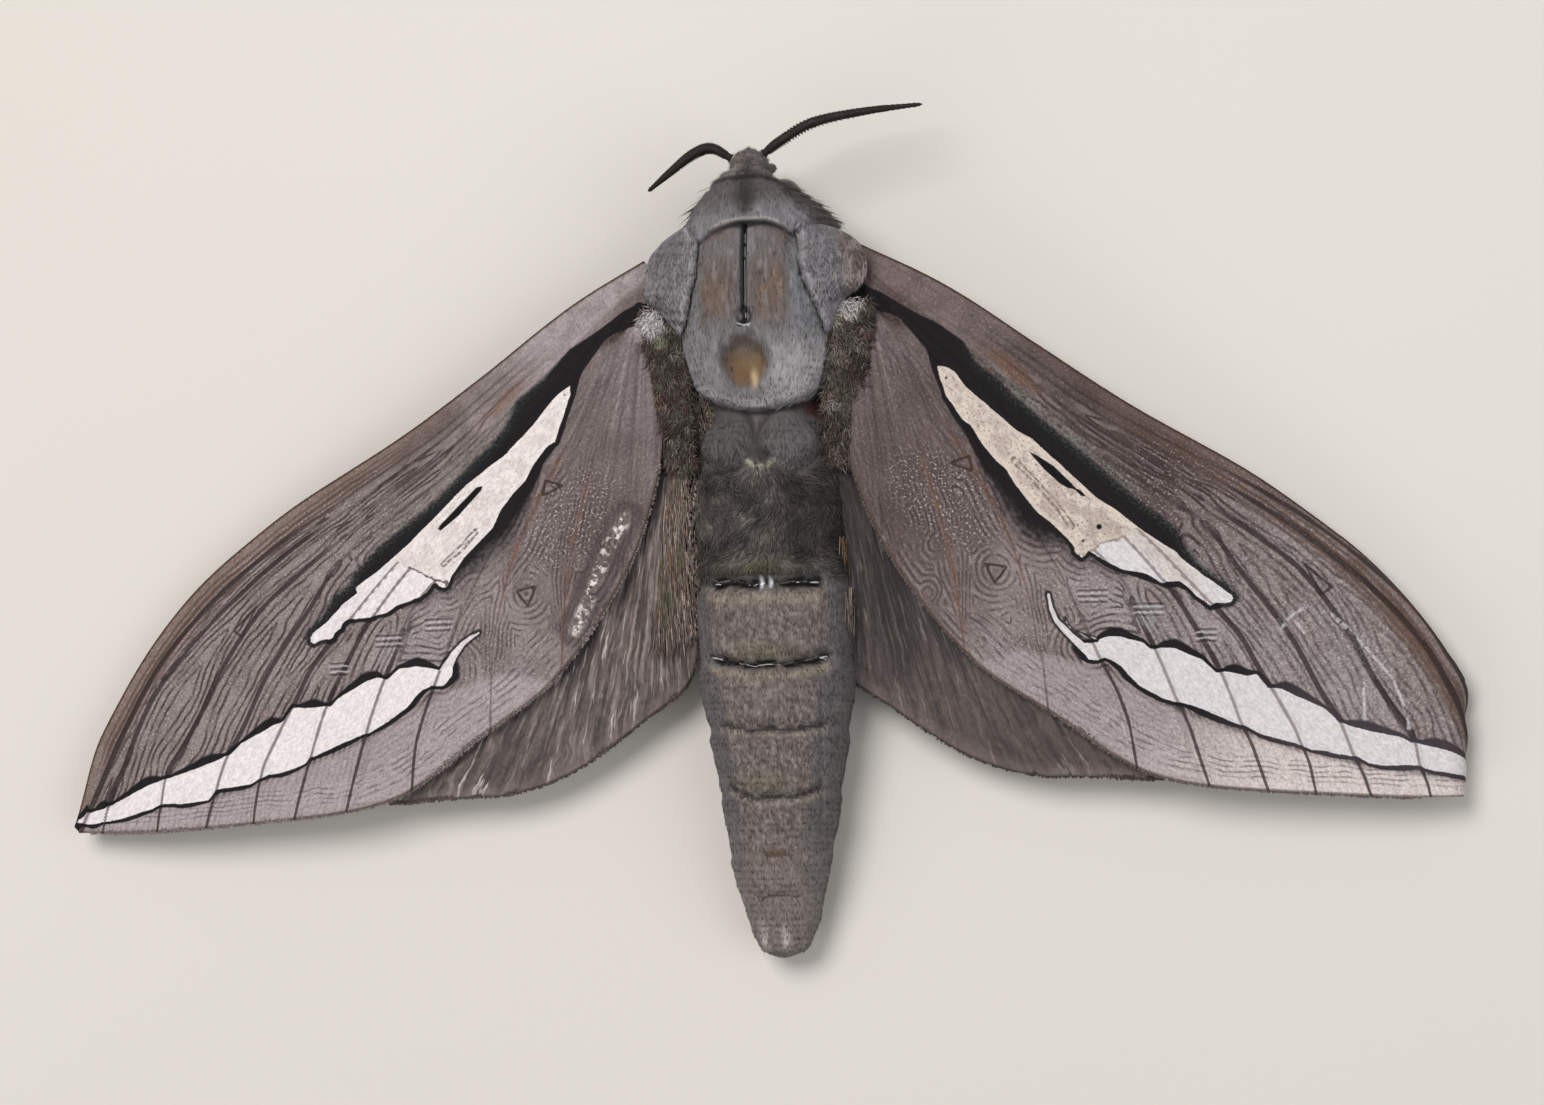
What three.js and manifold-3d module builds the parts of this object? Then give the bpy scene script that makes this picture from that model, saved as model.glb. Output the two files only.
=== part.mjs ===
// Rain moth (a ghost moth), a still life-size model resting on a flat floor, wings spread and flat.
// Millimetres. +X is the moth's right side, +Y points towards its head, +Z is up, the floor is z = 0.
import * as THREE from 'three';
import { mergeVertices } from 'three/addons/utils/BufferGeometryUtils.js';
import Module from 'manifold-3d';

const wasm = await Module();
wasm.setup();

// ---- driving dimensions -------------------------------------------------------------------
const GAP = 0.32;                // clearance kept between neighbouring pieces
const WING_THICKNESS = 0.5;
const WING_AXIS = 42;            // degrees from the +X axis back to the forewing's long axis
const WING_ORIGIN = { x: 5.5, y: 3.7, z: 7.0 };
const WING_DROOP = 3.3;          // degrees, towards the tip
const WING_CAMBER = 0.0088;      // fall per square millimetre away from the crown line
const WING_CROWN = 7.4;          // the crown line's distance behind the long axis
const HINDWING_DROP = 0.9;       // the hindwing's middle lies this far under the forewing's
const COSTA_SPREAD = 0.75;       // the left costa lies further out than the right one, each by this
const COSTA_EASE = { from: 8, to: 44, tip: 6 };
const LEFT_TURN = 0.65;          // degrees that the left wings are turned back
const LEFT_SHIFT = { x: 0.29, y: -0.57 };
const TURN_CENTRE = { x: 7.4, y: 4.6 };
const BODY_SQUARENESS = 2.2;     // exponent of the body's oval sections
const BODY_MIDDLE = 0.45;        // height of a section's widest place, as a part of its depth
const BODY_SIDES = 26;
const COLLAR_SIDES = 22;
const LIMB_SIDES = 8;

// The right forewing's tip curls down and under beyond a line across the wing.
const CURL = { start: { u: 53.2, v: -2.9 }, along: { u: 0.761, v: -0.649 }, radius: 1.0, turn: 165 };

// Wing outlines: distance along the long axis, distance behind it.
const FOREWING_FRONT = [
  [0, -3.0], [6.6, -4.7], [14.4, -5.75], [22, -6.9], [30.4, -8.8], [36, -9.5], [41, -9.7],
  [46, -9.1], [51, -7.7], [55, -6.2], [59.2, -4.1],
];
const FOREWING_REAR = [
  [0, -1.2], [3.3, 2.2], [6.4, 5.9], [10.1, 9.1], [16.2, 12.1], [25, 13.8], [32, 13.0],
  [37, 12.4], [39.6, 11.7], [43, 9.8], [48.7, 5.5], [54.4, 0.9], [59.2, -3.5],
];
const MAIN_LENGTH = 50;
const TIP_LENGTH = 59.2;
const HINDWING_FRONT = [[3.4, 2.6], [10, 2.4], [20, 3.2], [30, 5.4], [36, 8.0], [40.4, 11.0]];
const HINDWING_REAR = [
  [3.4, 4.9], [9.5, 11.6], [16.4, 19.2], [18.8, 20.5], [22, 20.2], [28.8, 19.2], [33.3, 17.2],
  [36.6, 14.5], [40.4, 11.6],
];

const MAIN_STATIONS = spread(0, MAIN_LENGTH, 18);
const TIP_STATIONS = {
  left: spread(MAIN_LENGTH, TIP_LENGTH, 4),
  right: spread(MAIN_LENGTH, TIP_LENGTH, 12),
};
const HINDWING_STATIONS = spread(HINDWING_FRONT[0][0], HINDWING_FRONT.at(-1)[0], 14);

// Body stations: y, centre x, half width, top, underside.
const COLLAR = [
  [11.3, -0.1, 1.35, 8.3, 6.4], [10.6, -0.2, 1.9, 8.9, 6.0], [9.2, 0.22, 3.85, 9.5, 4.4],
  [7.8, 0.6, 5.35, 10.0, 1.9], [6.95, 0.6, 5.5, 10.3, 1.6],
];
const THORAX = [
  [6.6, 0.25, 4.9, 10.35, 1.5], [4, 0.3, 5.6, 10.8, 1.1], [0, 0.35, 5.9, 10.9, 0.9],
  [-2.6, 0.45, 5.5, 10.5, 0.9], [-4.6, 0.5, 4.7, 9.9, 1.0], [-5.5, 0.55, 4.1, 9.4, 1.1],
];
const ABDOMEN = [
  [-5.85, 0.6, 4.5, 9.1, 1.1], [-8, 0.7, 5.1, 9.2, 0.6], [-12, 0.85, 5.45, 9.0, -0.15],
  [-18, 0.88, 5.75, 8.7, -0.15], [-25, 0.92, 5.85, 8.25, -0.15], [-28, 0.96, 5.3, 7.8, -0.15],
  [-34, 0.94, 4.35, 6.8, -0.15], [-38, 0.78, 3.65, 5.8, 0.1], [-41, 0.88, 2.85, 4.8, 0.5],
  [-43, 0.86, 2.1, 3.9, 1.1], [-43.9, 0.75, 1.25, 3.4, 1.6],
];
const SEGMENT_ENDS = [-10, -18, -23.5, -28, -32.4, -36.6, -39.6];
const SEGMENT_STEP = 0.045;      // how much a segment narrows towards the next one
const SEGMENT_LIP = 0.35;        // length of the step up onto the next segment

const HEAD = { x: 0.05, y: 9.75, z: 4.9, rx: 1.85, ry: 2.0, rz: 2.35 };
const HEAD_TUFT = { x: -0.05, y: 11.75, z: 6.5, rx: 1.35, ry: 1.25, rz: 1.35 };
const EYE = { x: 1.95, y: 9.8, z: 4.4, radius: 1.3 };
const TEGULA = { middle: 0.25, x: 5.6, y: 3.5, z: 8.0, rx: 2.7, ry: 3.6, rz: 1.3, tilt: 26 };

const BELOW_WINGS = [40, 40, 20]; // a box that holds all that lies under the wings' roots

// Antennae: points from the base to the tip, and the radius at each.
const ANTENNA_RADII = [0.26, 0.36, 0.38, 0.34, 0.26];
const ANTENNAE = {
  left: [[-1.2, 12.2, 7.1], [-2.6, 13.2, 7.4], [-4.0, 13.0, 7.2], [-5.7, 11.8, 6.8], [-7.4, 10.4, 6.4]],
  right: [[1.1, 12.4, 7.1], [2.4, 13.7, 7.4], [4.7, 14.8, 7.3], [8.3, 15.5, 6.8], [12.3, 15.8, 6.2]],
};
const PALP = { points: [[0.55, 11.3, 3.7], [0.7, 12.0, 3.0], [0.75, 12.3, 2.2]], radii: [0.4, 0.42, 0.3] };

// Legs: coxa, knee, end of the tibia, middle of the foot and its tip, for the right side.
const LEG_RADII = [0.95, 0.8, 0.45, 0.34, 0.28];
const LEGS = {
  front: [[1.6, 7.4, 3.4], [4.7, 6.3, 3.4], [7.3, 4.6, 0.8], [8.9, 3.4, 0.24], [10.6, 2.1, 0.22]],
  mid: [[2.2, 1.9, 2.9], [6.7, 0.3, 3.6], [10.9, -3.4, 0.8], [12.4, -5.0, 0.24], [14.0, -6.6, 0.22]],
  hind: [[2.3, -2.2, 2.9], [6.9, -6.4, 3.3], [10.4, -11.8, 0.8], [11.4, -13.8, 0.24], [12.4, -15.8, 0.22]],
};

// ---- materials ----------------------------------------------------------------------------
const COLOURS = {
  thorax: 0x7c7d82, abdomen: 0x645c56, head: 0x4a4440, forewing: 0x706867, hindwing: 0x544a46,
  antenna: 0x3a2620, leg: 0x5a4a40, eye: 0x1a1413, tegula: 0x85868b,
};

function finish(colour, roughness) {
  return new THREE.MeshStandardMaterial({ color: COLOURS[colour], roughness, metalness: 0 });
}

// ---- helpers ------------------------------------------------------------------------------
const radians = THREE.MathUtils.degToRad;

// A smooth curve through points [x, a, b, ...] sorted by x; gives [a, b, ...] at any x.
function through(points) {
  const rising = points[0][0] < points[points.length - 1][0];
  const knots = rising ? points : [...points].reverse();
  const slope = (i, k) => {
    const before = knots[Math.max(i - 1, 0)];
    const after = knots[Math.min(i + 1, knots.length - 1)];
    return (after[k] - before[k]) / (after[0] - before[0]);
  };
  return (x) => {
    let i = 0;
    while (i < knots.length - 2 && x > knots[i + 1][0]) i += 1;
    const span = knots[i + 1][0] - knots[i][0];
    const t = THREE.MathUtils.clamp((x - knots[i][0]) / span, 0, 1);
    const columns = [];
    for (let k = 1; k < knots[i].length; k += 1) {
      const rise = slope(i, k) * span;
      const fall = slope(i + 1, k) * span;
      const change = knots[i + 1][k] - knots[i][k];
      columns.push(knots[i][k] + t * (rise + t * (3 * change - 2 * rise - fall
        + t * (rise + fall - 2 * change))));
    }
    return columns;
  };
}

function closedGeometry(points, triangles) {
  const geometry = new THREE.BufferGeometry();
  geometry.setAttribute('position', new THREE.Float32BufferAttribute(points.flat(), 3));
  geometry.setIndex(triangles.flat());
  return geometry;
}

// Rings of equal length, in order, joined by bands and closed by a fan at each end.
function skinRings(rings) {
  const points = rings.flat();
  const size = rings[0].length;
  const triangles = [];
  for (let j = 0; j + 1 < rings.length; j += 1) {
    for (let i = 0; i < size; i += 1) {
      const a = j * size + i;
      const b = j * size + ((i + 1) % size);
      triangles.push([a, b, b + size], [a, b + size, a + size]);
    }
  }
  for (const [first, flip] of [[0, true], [(rings.length - 1) * size, false]]) {
    const ring = points.slice(first, first + size);
    const centre = [0, 1, 2].map((k) => ring.reduce((sum, p) => sum + p[k], 0) / size);
    points.push(centre);
    for (let i = 0; i < size; i += 1) {
      const a = first + i;
      const b = first + ((i + 1) % size);
      triangles.push(flip ? [points.length - 1, b, a] : [points.length - 1, a, b]);
    }
  }
  return closedGeometry(points, triangles);
}

// An oval section of the body at one station, kept on or above the floor.
function bodyRing(y, [x, halfWidth, top, under], sides, grow) {
  const middle = under + (top - under) * BODY_MIDDLE;
  const ring = [];
  for (let i = 0; i < sides; i += 1) {
    const angle = (2 * Math.PI * i) / sides;
    const c = Math.cos(angle);
    const s = Math.sin(angle);
    const across = Math.sign(c) * Math.abs(c) ** (2 / BODY_SQUARENESS);
    const up = Math.sign(s) * Math.abs(s) ** (2 / BODY_SQUARENESS);
    const reach = s > 0 ? top - middle : middle - under;
    const z = middle + (reach + grow) * up;
    ring.push([x + (halfWidth + grow) * across, y, grow > 0 ? z : Math.max(z, 0)]);
  }
  return ring;
}

// A length of body; grow swells it all round, for cutting its neighbours.
function bodyLength(stations, levels, sides, grow = 0, narrowing = () => 0) {
  const shape = through(stations);
  const rings = levels.map((level, j) => {
    const [x, halfWidth, top, under] = shape(level);
    const waist = halfWidth * narrowing(level);
    const y = level + (j === 0 ? grow : 0) - (j === levels.length - 1 ? grow : 0);
    return bodyRing(y, [x, halfWidth - waist, top - waist, under], sides, grow);
  });
  return skinRings(rings);
}

function spread(from, to, steps) {
  return Array.from({ length: steps + 1 }, (_, i) => from + ((to - from) * i) / steps);
}

function ellipsoid(e, grow = 0, across = 18, up = 12) {
  const ball = new THREE.SphereGeometry(1, across, up);
  ball.scale(e.rx + grow, e.ry + grow, e.rz + grow);
  return ball.translate(e.x, e.y, e.z);
}

// A limb along a curve, with a radius at each of its points; nothing goes under the floor.
function limb(points, radii, steps) {
  const route = points.map((p) => new THREE.Vector3(...p));
  const curve = new THREE.CatmullRomCurve3(route, false, 'centripetal');
  const radius = through(radii.map((r, i) => [i / (radii.length - 1), r]));
  const up = new THREE.Vector3(0, 0, 1);
  const rings = spread(0, 1, steps).map((t) => {
    const centre = curve.getPoint(t);
    const along = curve.getTangent(t);
    const side = new THREE.Vector3().crossVectors(along, up).normalize();
    const rise = new THREE.Vector3().crossVectors(along, side);
    const [r] = radius(t);
    return spread(0, 2 * Math.PI, LIMB_SIDES).slice(0, LIMB_SIDES).map((angle) => {
      const p = centre.clone();
      p.addScaledVector(side, r * Math.cos(angle));
      p.addScaledVector(rise, r * Math.sin(angle));
      return [p.x, p.y, Math.max(p.z, 0)];
    });
  });
  return skinRings(rings);
}

// ---- wings --------------------------------------------------------------------------------
// Where the wing's middle surface lies; drop lowers it, side is 1 for right and -1 for left.
function wingPoint(u, v, side, drop) {
  let along = u;
  let back = v;
  let fall = drop;
  const past = (u - CURL.start.u) * CURL.along.u + (v - CURL.start.v) * CURL.along.v;
  if (side > 0 && past > 0) {
    const bend = Math.min(past / CURL.radius, radians(CURL.turn));
    const rest = past - bend * CURL.radius;
    const advance = CURL.radius * Math.sin(bend) + rest * Math.cos(bend);
    along -= (past - advance) * CURL.along.u;
    back -= (past - advance) * CURL.along.v;
    fall += CURL.radius * (1 - Math.cos(bend)) + rest * Math.sin(bend);
  }
  const axis = radians(WING_AXIS);
  let x = WING_ORIGIN.x + along * Math.cos(axis) - back * Math.sin(axis);
  let y = WING_ORIGIN.y - along * Math.sin(axis) - back * Math.cos(axis);
  const z = WING_ORIGIN.z - along * Math.tan(radians(WING_DROOP))
    - WING_CAMBER * (back - WING_CROWN) ** 2 - fall;
  if (side < 0) {
    const turn = radians(LEFT_TURN);
    const dx = x - TURN_CENTRE.x;
    const dy = y - TURN_CENTRE.y;
    x = -(TURN_CENTRE.x + LEFT_SHIFT.x + dx * Math.cos(turn) + dy * Math.sin(turn));
    y = TURN_CENTRE.y + LEFT_SHIFT.y - dx * Math.sin(turn) + dy * Math.cos(turn);
  }
  return new THREE.Vector3(x, y, z);
}

// A thin wing between a front and a rear edge, at the given stations along its long axis.
function wingPlate({ front, rear, stations, across, side, drop, costaShift, thickness }) {
  const frontEdge = through(front);
  const rearEdge = through(rear);
  const tip = stations[stations.length - 1];
  const place = (u, part) => {
    const moved = THREE.MathUtils.smoothstep(u, COSTA_EASE.from, COSTA_EASE.to)
      * (1 - THREE.MathUtils.smoothstep(u, tip - COSTA_EASE.tip, tip));
    const edge = frontEdge(u)[0] + costaShift * moved;
    return edge + (rearEdge(u)[0] - edge) * part;
  };
  const surface = (u, part, face) => {
    const v = place(u, part);
    const step = 0.05;
    const centre = wingPoint(u, v, side, drop);
    const alongU = wingPoint(u + step, v, side, drop).sub(centre);
    const alongV = wingPoint(u, v + step, side, drop).sub(centre);
    const normal = new THREE.Vector3().crossVectors(alongV, alongU).normalize();
    return centre.addScaledVector(normal, side * face * (thickness / 2)).toArray();
  };
  // each section is a closed ring: over one face from front to rear and back over the other
  const parts = spread(0, 1, across);
  return skinRings(stations.map((u) => [
    ...parts.map((part) => surface(u, part, side)),
    ...[...parts].reverse().map((part) => surface(u, part, -side)),
  ]));
}

function forewing(sideName, side, thickness = WING_THICKNESS) {
  const stations = [...MAIN_STATIONS.slice(0, -1), ...TIP_STATIONS[sideName]];
  return wingPlate({
    front: FOREWING_FRONT, rear: FOREWING_REAR, stations, across: 7, side, drop: 0,
    costaShift: side * COSTA_SPREAD, thickness,
  });
}

function hindwing(side) {
  return wingPlate({
    front: HINDWING_FRONT, rear: HINDWING_REAR, stations: HINDWING_STATIONS, across: 6, side,
    drop: HINDWING_DROP, costaShift: 0, thickness: WING_THICKNESS,
  });
}

// ---- solids -------------------------------------------------------------------------------
function solid(geometry) {
  const bare = geometry.clone();
  bare.deleteAttribute('normal');
  bare.deleteAttribute('uv');
  const merged = mergeVertices(bare, 1e-5);
  return new wasm.Manifold(new wasm.Mesh({
    numProp: 3,
    vertProperties: new Float32Array(merged.attributes.position.array),
    triVerts: new Uint32Array(merged.index.array),
  }));
}

function toGeometry(manifold) {
  const mesh = manifold.getMesh();
  const geometry = new THREE.BufferGeometry();
  geometry.setAttribute('position', new THREE.BufferAttribute(new Float32Array(mesh.vertProperties), 3));
  geometry.setIndex([...mesh.triVerts]);
  return geometry;
}

function carve(body, tools) {
  return toGeometry(tools.reduce((left, tool) => left.subtract(tool), body));
}

const group = new THREE.Group();

function add(name, geometry, material) {
  const mesh = new THREE.Mesh(geometry, material);
  mesh.name = name;
  group.add(mesh);
}

// ---- body ---------------------------------------------------------------------------------
// How much narrower the abdomen is at y than its outline: each segment tapers to its rear end.
function narrowing(y) {
  const k = SEGMENT_ENDS.findIndex((end) => y > end - 1e-6);
  if (k < 1) return 0;
  const [front, rear] = [SEGMENT_ENDS[k - 1], SEGMENT_ENDS[k]];
  return SEGMENT_STEP * ((front - y) / (front - rear)) ** 2;
}

const abdomenFront = spread(ABDOMEN[0][0], SEGMENT_ENDS[0], 3);
const abdomenTail = ABDOMEN.slice(-3).map(([y]) => y);
const segmentLevels = SEGMENT_ENDS.slice(1).flatMap((rear, k) => {
  const front = SEGMENT_ENDS[k];
  return [front - SEGMENT_LIP, (front + rear) / 2, rear];
});
const abdomenLevels = [...abdomenFront, ...segmentLevels, ...abdomenTail];
const thoraxLevels = spread(THORAX[0][0], THORAX[THORAX.length - 1][0], 9);
const collarLevels = spread(COLLAR[0][0], COLLAR[COLLAR.length - 1][0], 5);

const eyeBalls = [-1, 1].map((side) => ({
  x: HEAD.x + side * EYE.x, y: EYE.y, z: EYE.z, rx: EYE.radius, ry: EYE.radius, rz: EYE.radius,
}));
const grownEyes = eyeBalls.map((eye) => solid(ellipsoid(eye, GAP, 14, 10)));
const grownHead = solid(ellipsoid(HEAD, GAP)).add(solid(ellipsoid(HEAD_TUFT, GAP, 14, 8)));
const grownThorax = solid(bodyLength(THORAX, thoraxLevels, BODY_SIDES, GAP));
const grownCollar = solid(bodyLength(COLLAR, collarLevels, COLLAR_SIDES, GAP));
const grownAbdomen = solid(bodyLength(ABDOMEN, ABDOMEN.map(([y]) => y), BODY_SIDES, GAP));
const grownBody = [grownThorax, grownCollar, grownAbdomen];

const headSolid = solid(ellipsoid(HEAD)).add(solid(ellipsoid(HEAD_TUFT, 0, 14, 8)));
const collarSolid = solid(bodyLength(COLLAR, collarLevels, COLLAR_SIDES));
add('head', carve(headSolid, grownEyes), finish('head', 0.95));
add('collar', carve(collarSolid, [grownHead, ...grownEyes]), finish('thorax', 0.9));
add('thorax', bodyLength(THORAX, thoraxLevels, BODY_SIDES), finish('thorax', 0.9));
add('abdomen', bodyLength(ABDOMEN, abdomenLevels, BODY_SIDES, 0, narrowing), finish('abdomen', 0.92));

// ---- paired pieces ------------------------------------------------------------------------
function tegula(side) {
  const cap = ellipsoid({ ...TEGULA, x: 0, y: 0, z: 0 });
  cap.rotateY(radians(side * TEGULA.tilt));
  return cap.translate(TEGULA.middle + side * TEGULA.x, TEGULA.y, TEGULA.z);
}

// everything below the wings' roots, which the tegulae don't reach
const belowWings = new THREE.BoxGeometry(...BELOW_WINGS);
belowWings.translate(0, 0, WING_ORIGIN.z - BELOW_WINGS[2] / 2);

for (const [sideName, side, eye] of [['left', -1, eyeBalls[0]], ['right', 1, eyeBalls[1]]]) {
  const mirrored = (points) => points.map(([x, y, z]) => [side * x, y, z]);

  add(`eye_${sideName}`, ellipsoid(eye, 0, 12, 8), finish('eye', 0.3));

  const palp = solid(limb(mirrored(PALP.points), PALP.radii, 4));
  add(`palp_${sideName}`, carve(palp, [grownHead]), finish('head', 0.95));

  const antenna = solid(limb(ANTENNAE[sideName], ANTENNA_RADII, 12));
  add(`antenna_${sideName}`, carve(antenna, [grownHead, grownCollar]), finish('antenna', 0.7));

  const wingZone = solid(forewing(sideName, side, WING_THICKNESS + 2 * GAP));
  add(`forewing_${sideName}`, carve(solid(forewing(sideName, side)), grownBody), finish('forewing', 0.85));
  add(`hindwing_${sideName}`, carve(solid(hindwing(side)), grownBody), finish('hindwing', 0.9));

  const coverTools = [grownThorax, grownCollar, wingZone, solid(belowWings)];
  add(`tegula_${sideName}`, carve(solid(tegula(side)), coverTools), finish('tegula', 0.9));

  for (const [place, points] of Object.entries(LEGS)) {
    const leg = solid(limb(mirrored(points), LEG_RADII, 13));
    add(`leg_${place}_${sideName}`, carve(leg, grownBody), finish('leg', 0.85));
  }
}

// The model stands on the floor with the middle of its box over the origin.
group.updateMatrixWorld(true);
const box = new THREE.Box3().setFromObject(group, true);
group.position.set(-(box.min.x + box.max.x) / 2, -(box.min.y + box.max.y) / 2, -box.min.z);

export default group;
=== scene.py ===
"""A rain moth at life size: skin, coat, wings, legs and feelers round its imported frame, on a plain stage."""

import math

import bpy
import numpy as np
from mathutils import Matrix, Vector
from mathutils.bvhtree import BVHTree


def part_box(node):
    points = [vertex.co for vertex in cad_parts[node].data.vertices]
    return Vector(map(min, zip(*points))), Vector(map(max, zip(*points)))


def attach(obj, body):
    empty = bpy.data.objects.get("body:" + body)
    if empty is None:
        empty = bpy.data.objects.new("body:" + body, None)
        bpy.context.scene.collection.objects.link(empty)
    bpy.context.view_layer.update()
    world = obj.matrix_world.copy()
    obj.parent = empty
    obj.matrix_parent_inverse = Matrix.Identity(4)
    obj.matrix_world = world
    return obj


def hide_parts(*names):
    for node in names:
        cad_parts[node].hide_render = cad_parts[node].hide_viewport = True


bl_info = {
    "name": "Rain Moth",
    "version": (1, 0, 0),
    "blender": (4, 5, 0),
    "location": "View3D > Sidebar > Moth",
    "description": "Builds a life-size rain moth and the stage that it lies on",
    "category": "Add Mesh",
}

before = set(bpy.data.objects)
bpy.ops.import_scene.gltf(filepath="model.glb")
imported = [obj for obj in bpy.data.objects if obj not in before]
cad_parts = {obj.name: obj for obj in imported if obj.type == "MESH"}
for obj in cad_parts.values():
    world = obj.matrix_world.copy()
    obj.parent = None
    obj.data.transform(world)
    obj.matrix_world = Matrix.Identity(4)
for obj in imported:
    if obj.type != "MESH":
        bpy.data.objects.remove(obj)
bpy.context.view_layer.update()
MM = 0.001

# ---- places -------------------------------------------------------------------------------
# The moth's own frame is in millimetres: x to its right, y to its head, z up from the floor.
# The eyes' middle and the thorax's front end place it in the model's frame.
EYE_MIDDLE = 0.05
THORAX_FRONT = 6.6
ORIGIN = np.array((
    (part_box("eye_left")[0].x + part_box("eye_right")[1].x) / 2 / MM - EYE_MIDDLE,
    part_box("thorax")[1].y / MM - THORAX_FRONT,
    0.0,
))
SIDES = {"left": -1, "right": 1}
FLESH = ("head", "collar", "thorax", "abdomen")

# The body's axis: y, x, z. Rays go out from it to find the body's shape.
BODY_AXIS = [(-43.9, 0.75, 2.45), (-41, 0.88, 2.65), (-28, 0.96, 3.8), (-12, 0.85, 4.3), (-5.7, 0.55, 5.0),
             (0, 0.35, 5.6), (7, 0.25, 5.9), (10.5, 0.0, 5.6), (11.75, 0.0, 6.1), (13.0, -0.05, 6.5)]
BODY_FRONT, BODY_REAR = 13.0, -43.9

# Edges that cross the back: x, y.
COLLAR_EDGE = [(-6, 6.0), (-3.9, 6.0), (-3.0, 6.1), (-2.0, 6.75), (-0.6, 7.15), (0.35, 7.15), (1.2, 7.2),
               (1.9, 7.15), (2.9, 6.75), (3.5, 6.3), (4.0, 6.85), (5, 6.8), (7, 6.8)]
SLIT_X, SLIT_REAR, SLIT_FRONT = 0.22, 0.1, 6.95
PATCH = (0.22, -2.9)
LOBES = [(-1.95, -7.75), (3.0, -7.95)]
NOTCH = (0.95, -8.9)
PATCH_REACH, LOBE_REACH, NOTCH_REACH = (1.25, 1.7), (2.05, 2.1), (1.1, 0.85)
SHIELD_MIDDLE, SHIELD_REAR = 0.6, -5.8
# Gaps between the abdomen's rings: y, left end, right end, half width, rise of the ends, darkness.
RING_GAPS = [(-17.85, -3.2, 4.9, 0.56, 0.15, 1.0), (-23.45, -3.5, 5.3, 0.42, 0.9, 1.0),
             (-27.95, -2.9, 4.9, 0.20, 0.5, 0.85), (-32.6, -2.4, 4.4, 0.24, 0.9, 0.85),
             (-36.7, 0.1, 2.2, 0.16, 0.1, 0.5), (-39.5, -0.9, 2.6, 0.11, 0.1, 0.6)]

# Wings: the long axis and its height, the camber, and how the left pair is turned.
WING_AXIS = math.radians(42)
WING_ROOT = (5.5, 3.7, 7.0)
WING_DROOP = math.tan(math.radians(3.3))
WING_CAMBER, WING_CROWN = 0.0088, 7.4
HINDWING_DROP = 0.9
COSTA_SPREAD = 0.75
LEFT_TURN, LEFT_SHIFT, TURN_CENTRE = math.radians(0.65), (0.29, -0.57), (7.4, 4.6)
CURL_START, CURL_ALONG, CURL_RADIUS, CURL_TURN = (53.2, -2.9), (0.761, -0.649), 1.0, math.radians(165)

FAN_CENTRE = (1.0, 2.2)              # where the hindwing's veins and hair start
FAR = 9.0                            # millimetres, more than any marking reaches
RAY_LENGTH = 14.0                    # millimetres, more than the flesh reaches up or out

# Wing outlines and veins: distance along the long axis, distance behind it.
FOREWING_SPAN, HINDWING_SPAN = (0.0, 59.2), (3.4, 40.4)
FOREWING_FRONT = [(0, -3.0), (6.6, -4.7), (14.4, -5.75), (22, -6.9), (30.4, -8.8), (36, -9.5), (41, -9.7),
                  (46, -9.1), (51, -7.7), (55, -6.2), (59.2, -4.1)]
FOREWING_REAR = [(0, -1.2), (3.3, 2.2), (6.4, 5.9), (10.1, 9.1), (16.2, 12.1), (25, 13.8), (32, 13.0),
                 (37, 12.4), (39.6, 11.7), (43, 9.8), (48.7, 5.5), (54.4, 0.9), (59.2, -3.5)]
HINDWING_FRONT = [(3.4, 2.6), (10, 2.4), (20, 3.2), (30, 5.4), (36, 8.0), (40.4, 11.0)]
HINDWING_REAR = [(3.4, 4.9), (9.5, 11.6), (16.4, 19.2), (18.8, 20.5), (22, 20.2), (28.8, 19.2),
                 (33.3, 17.2), (36.6, 14.5), (40.4, 11.6)]
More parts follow.
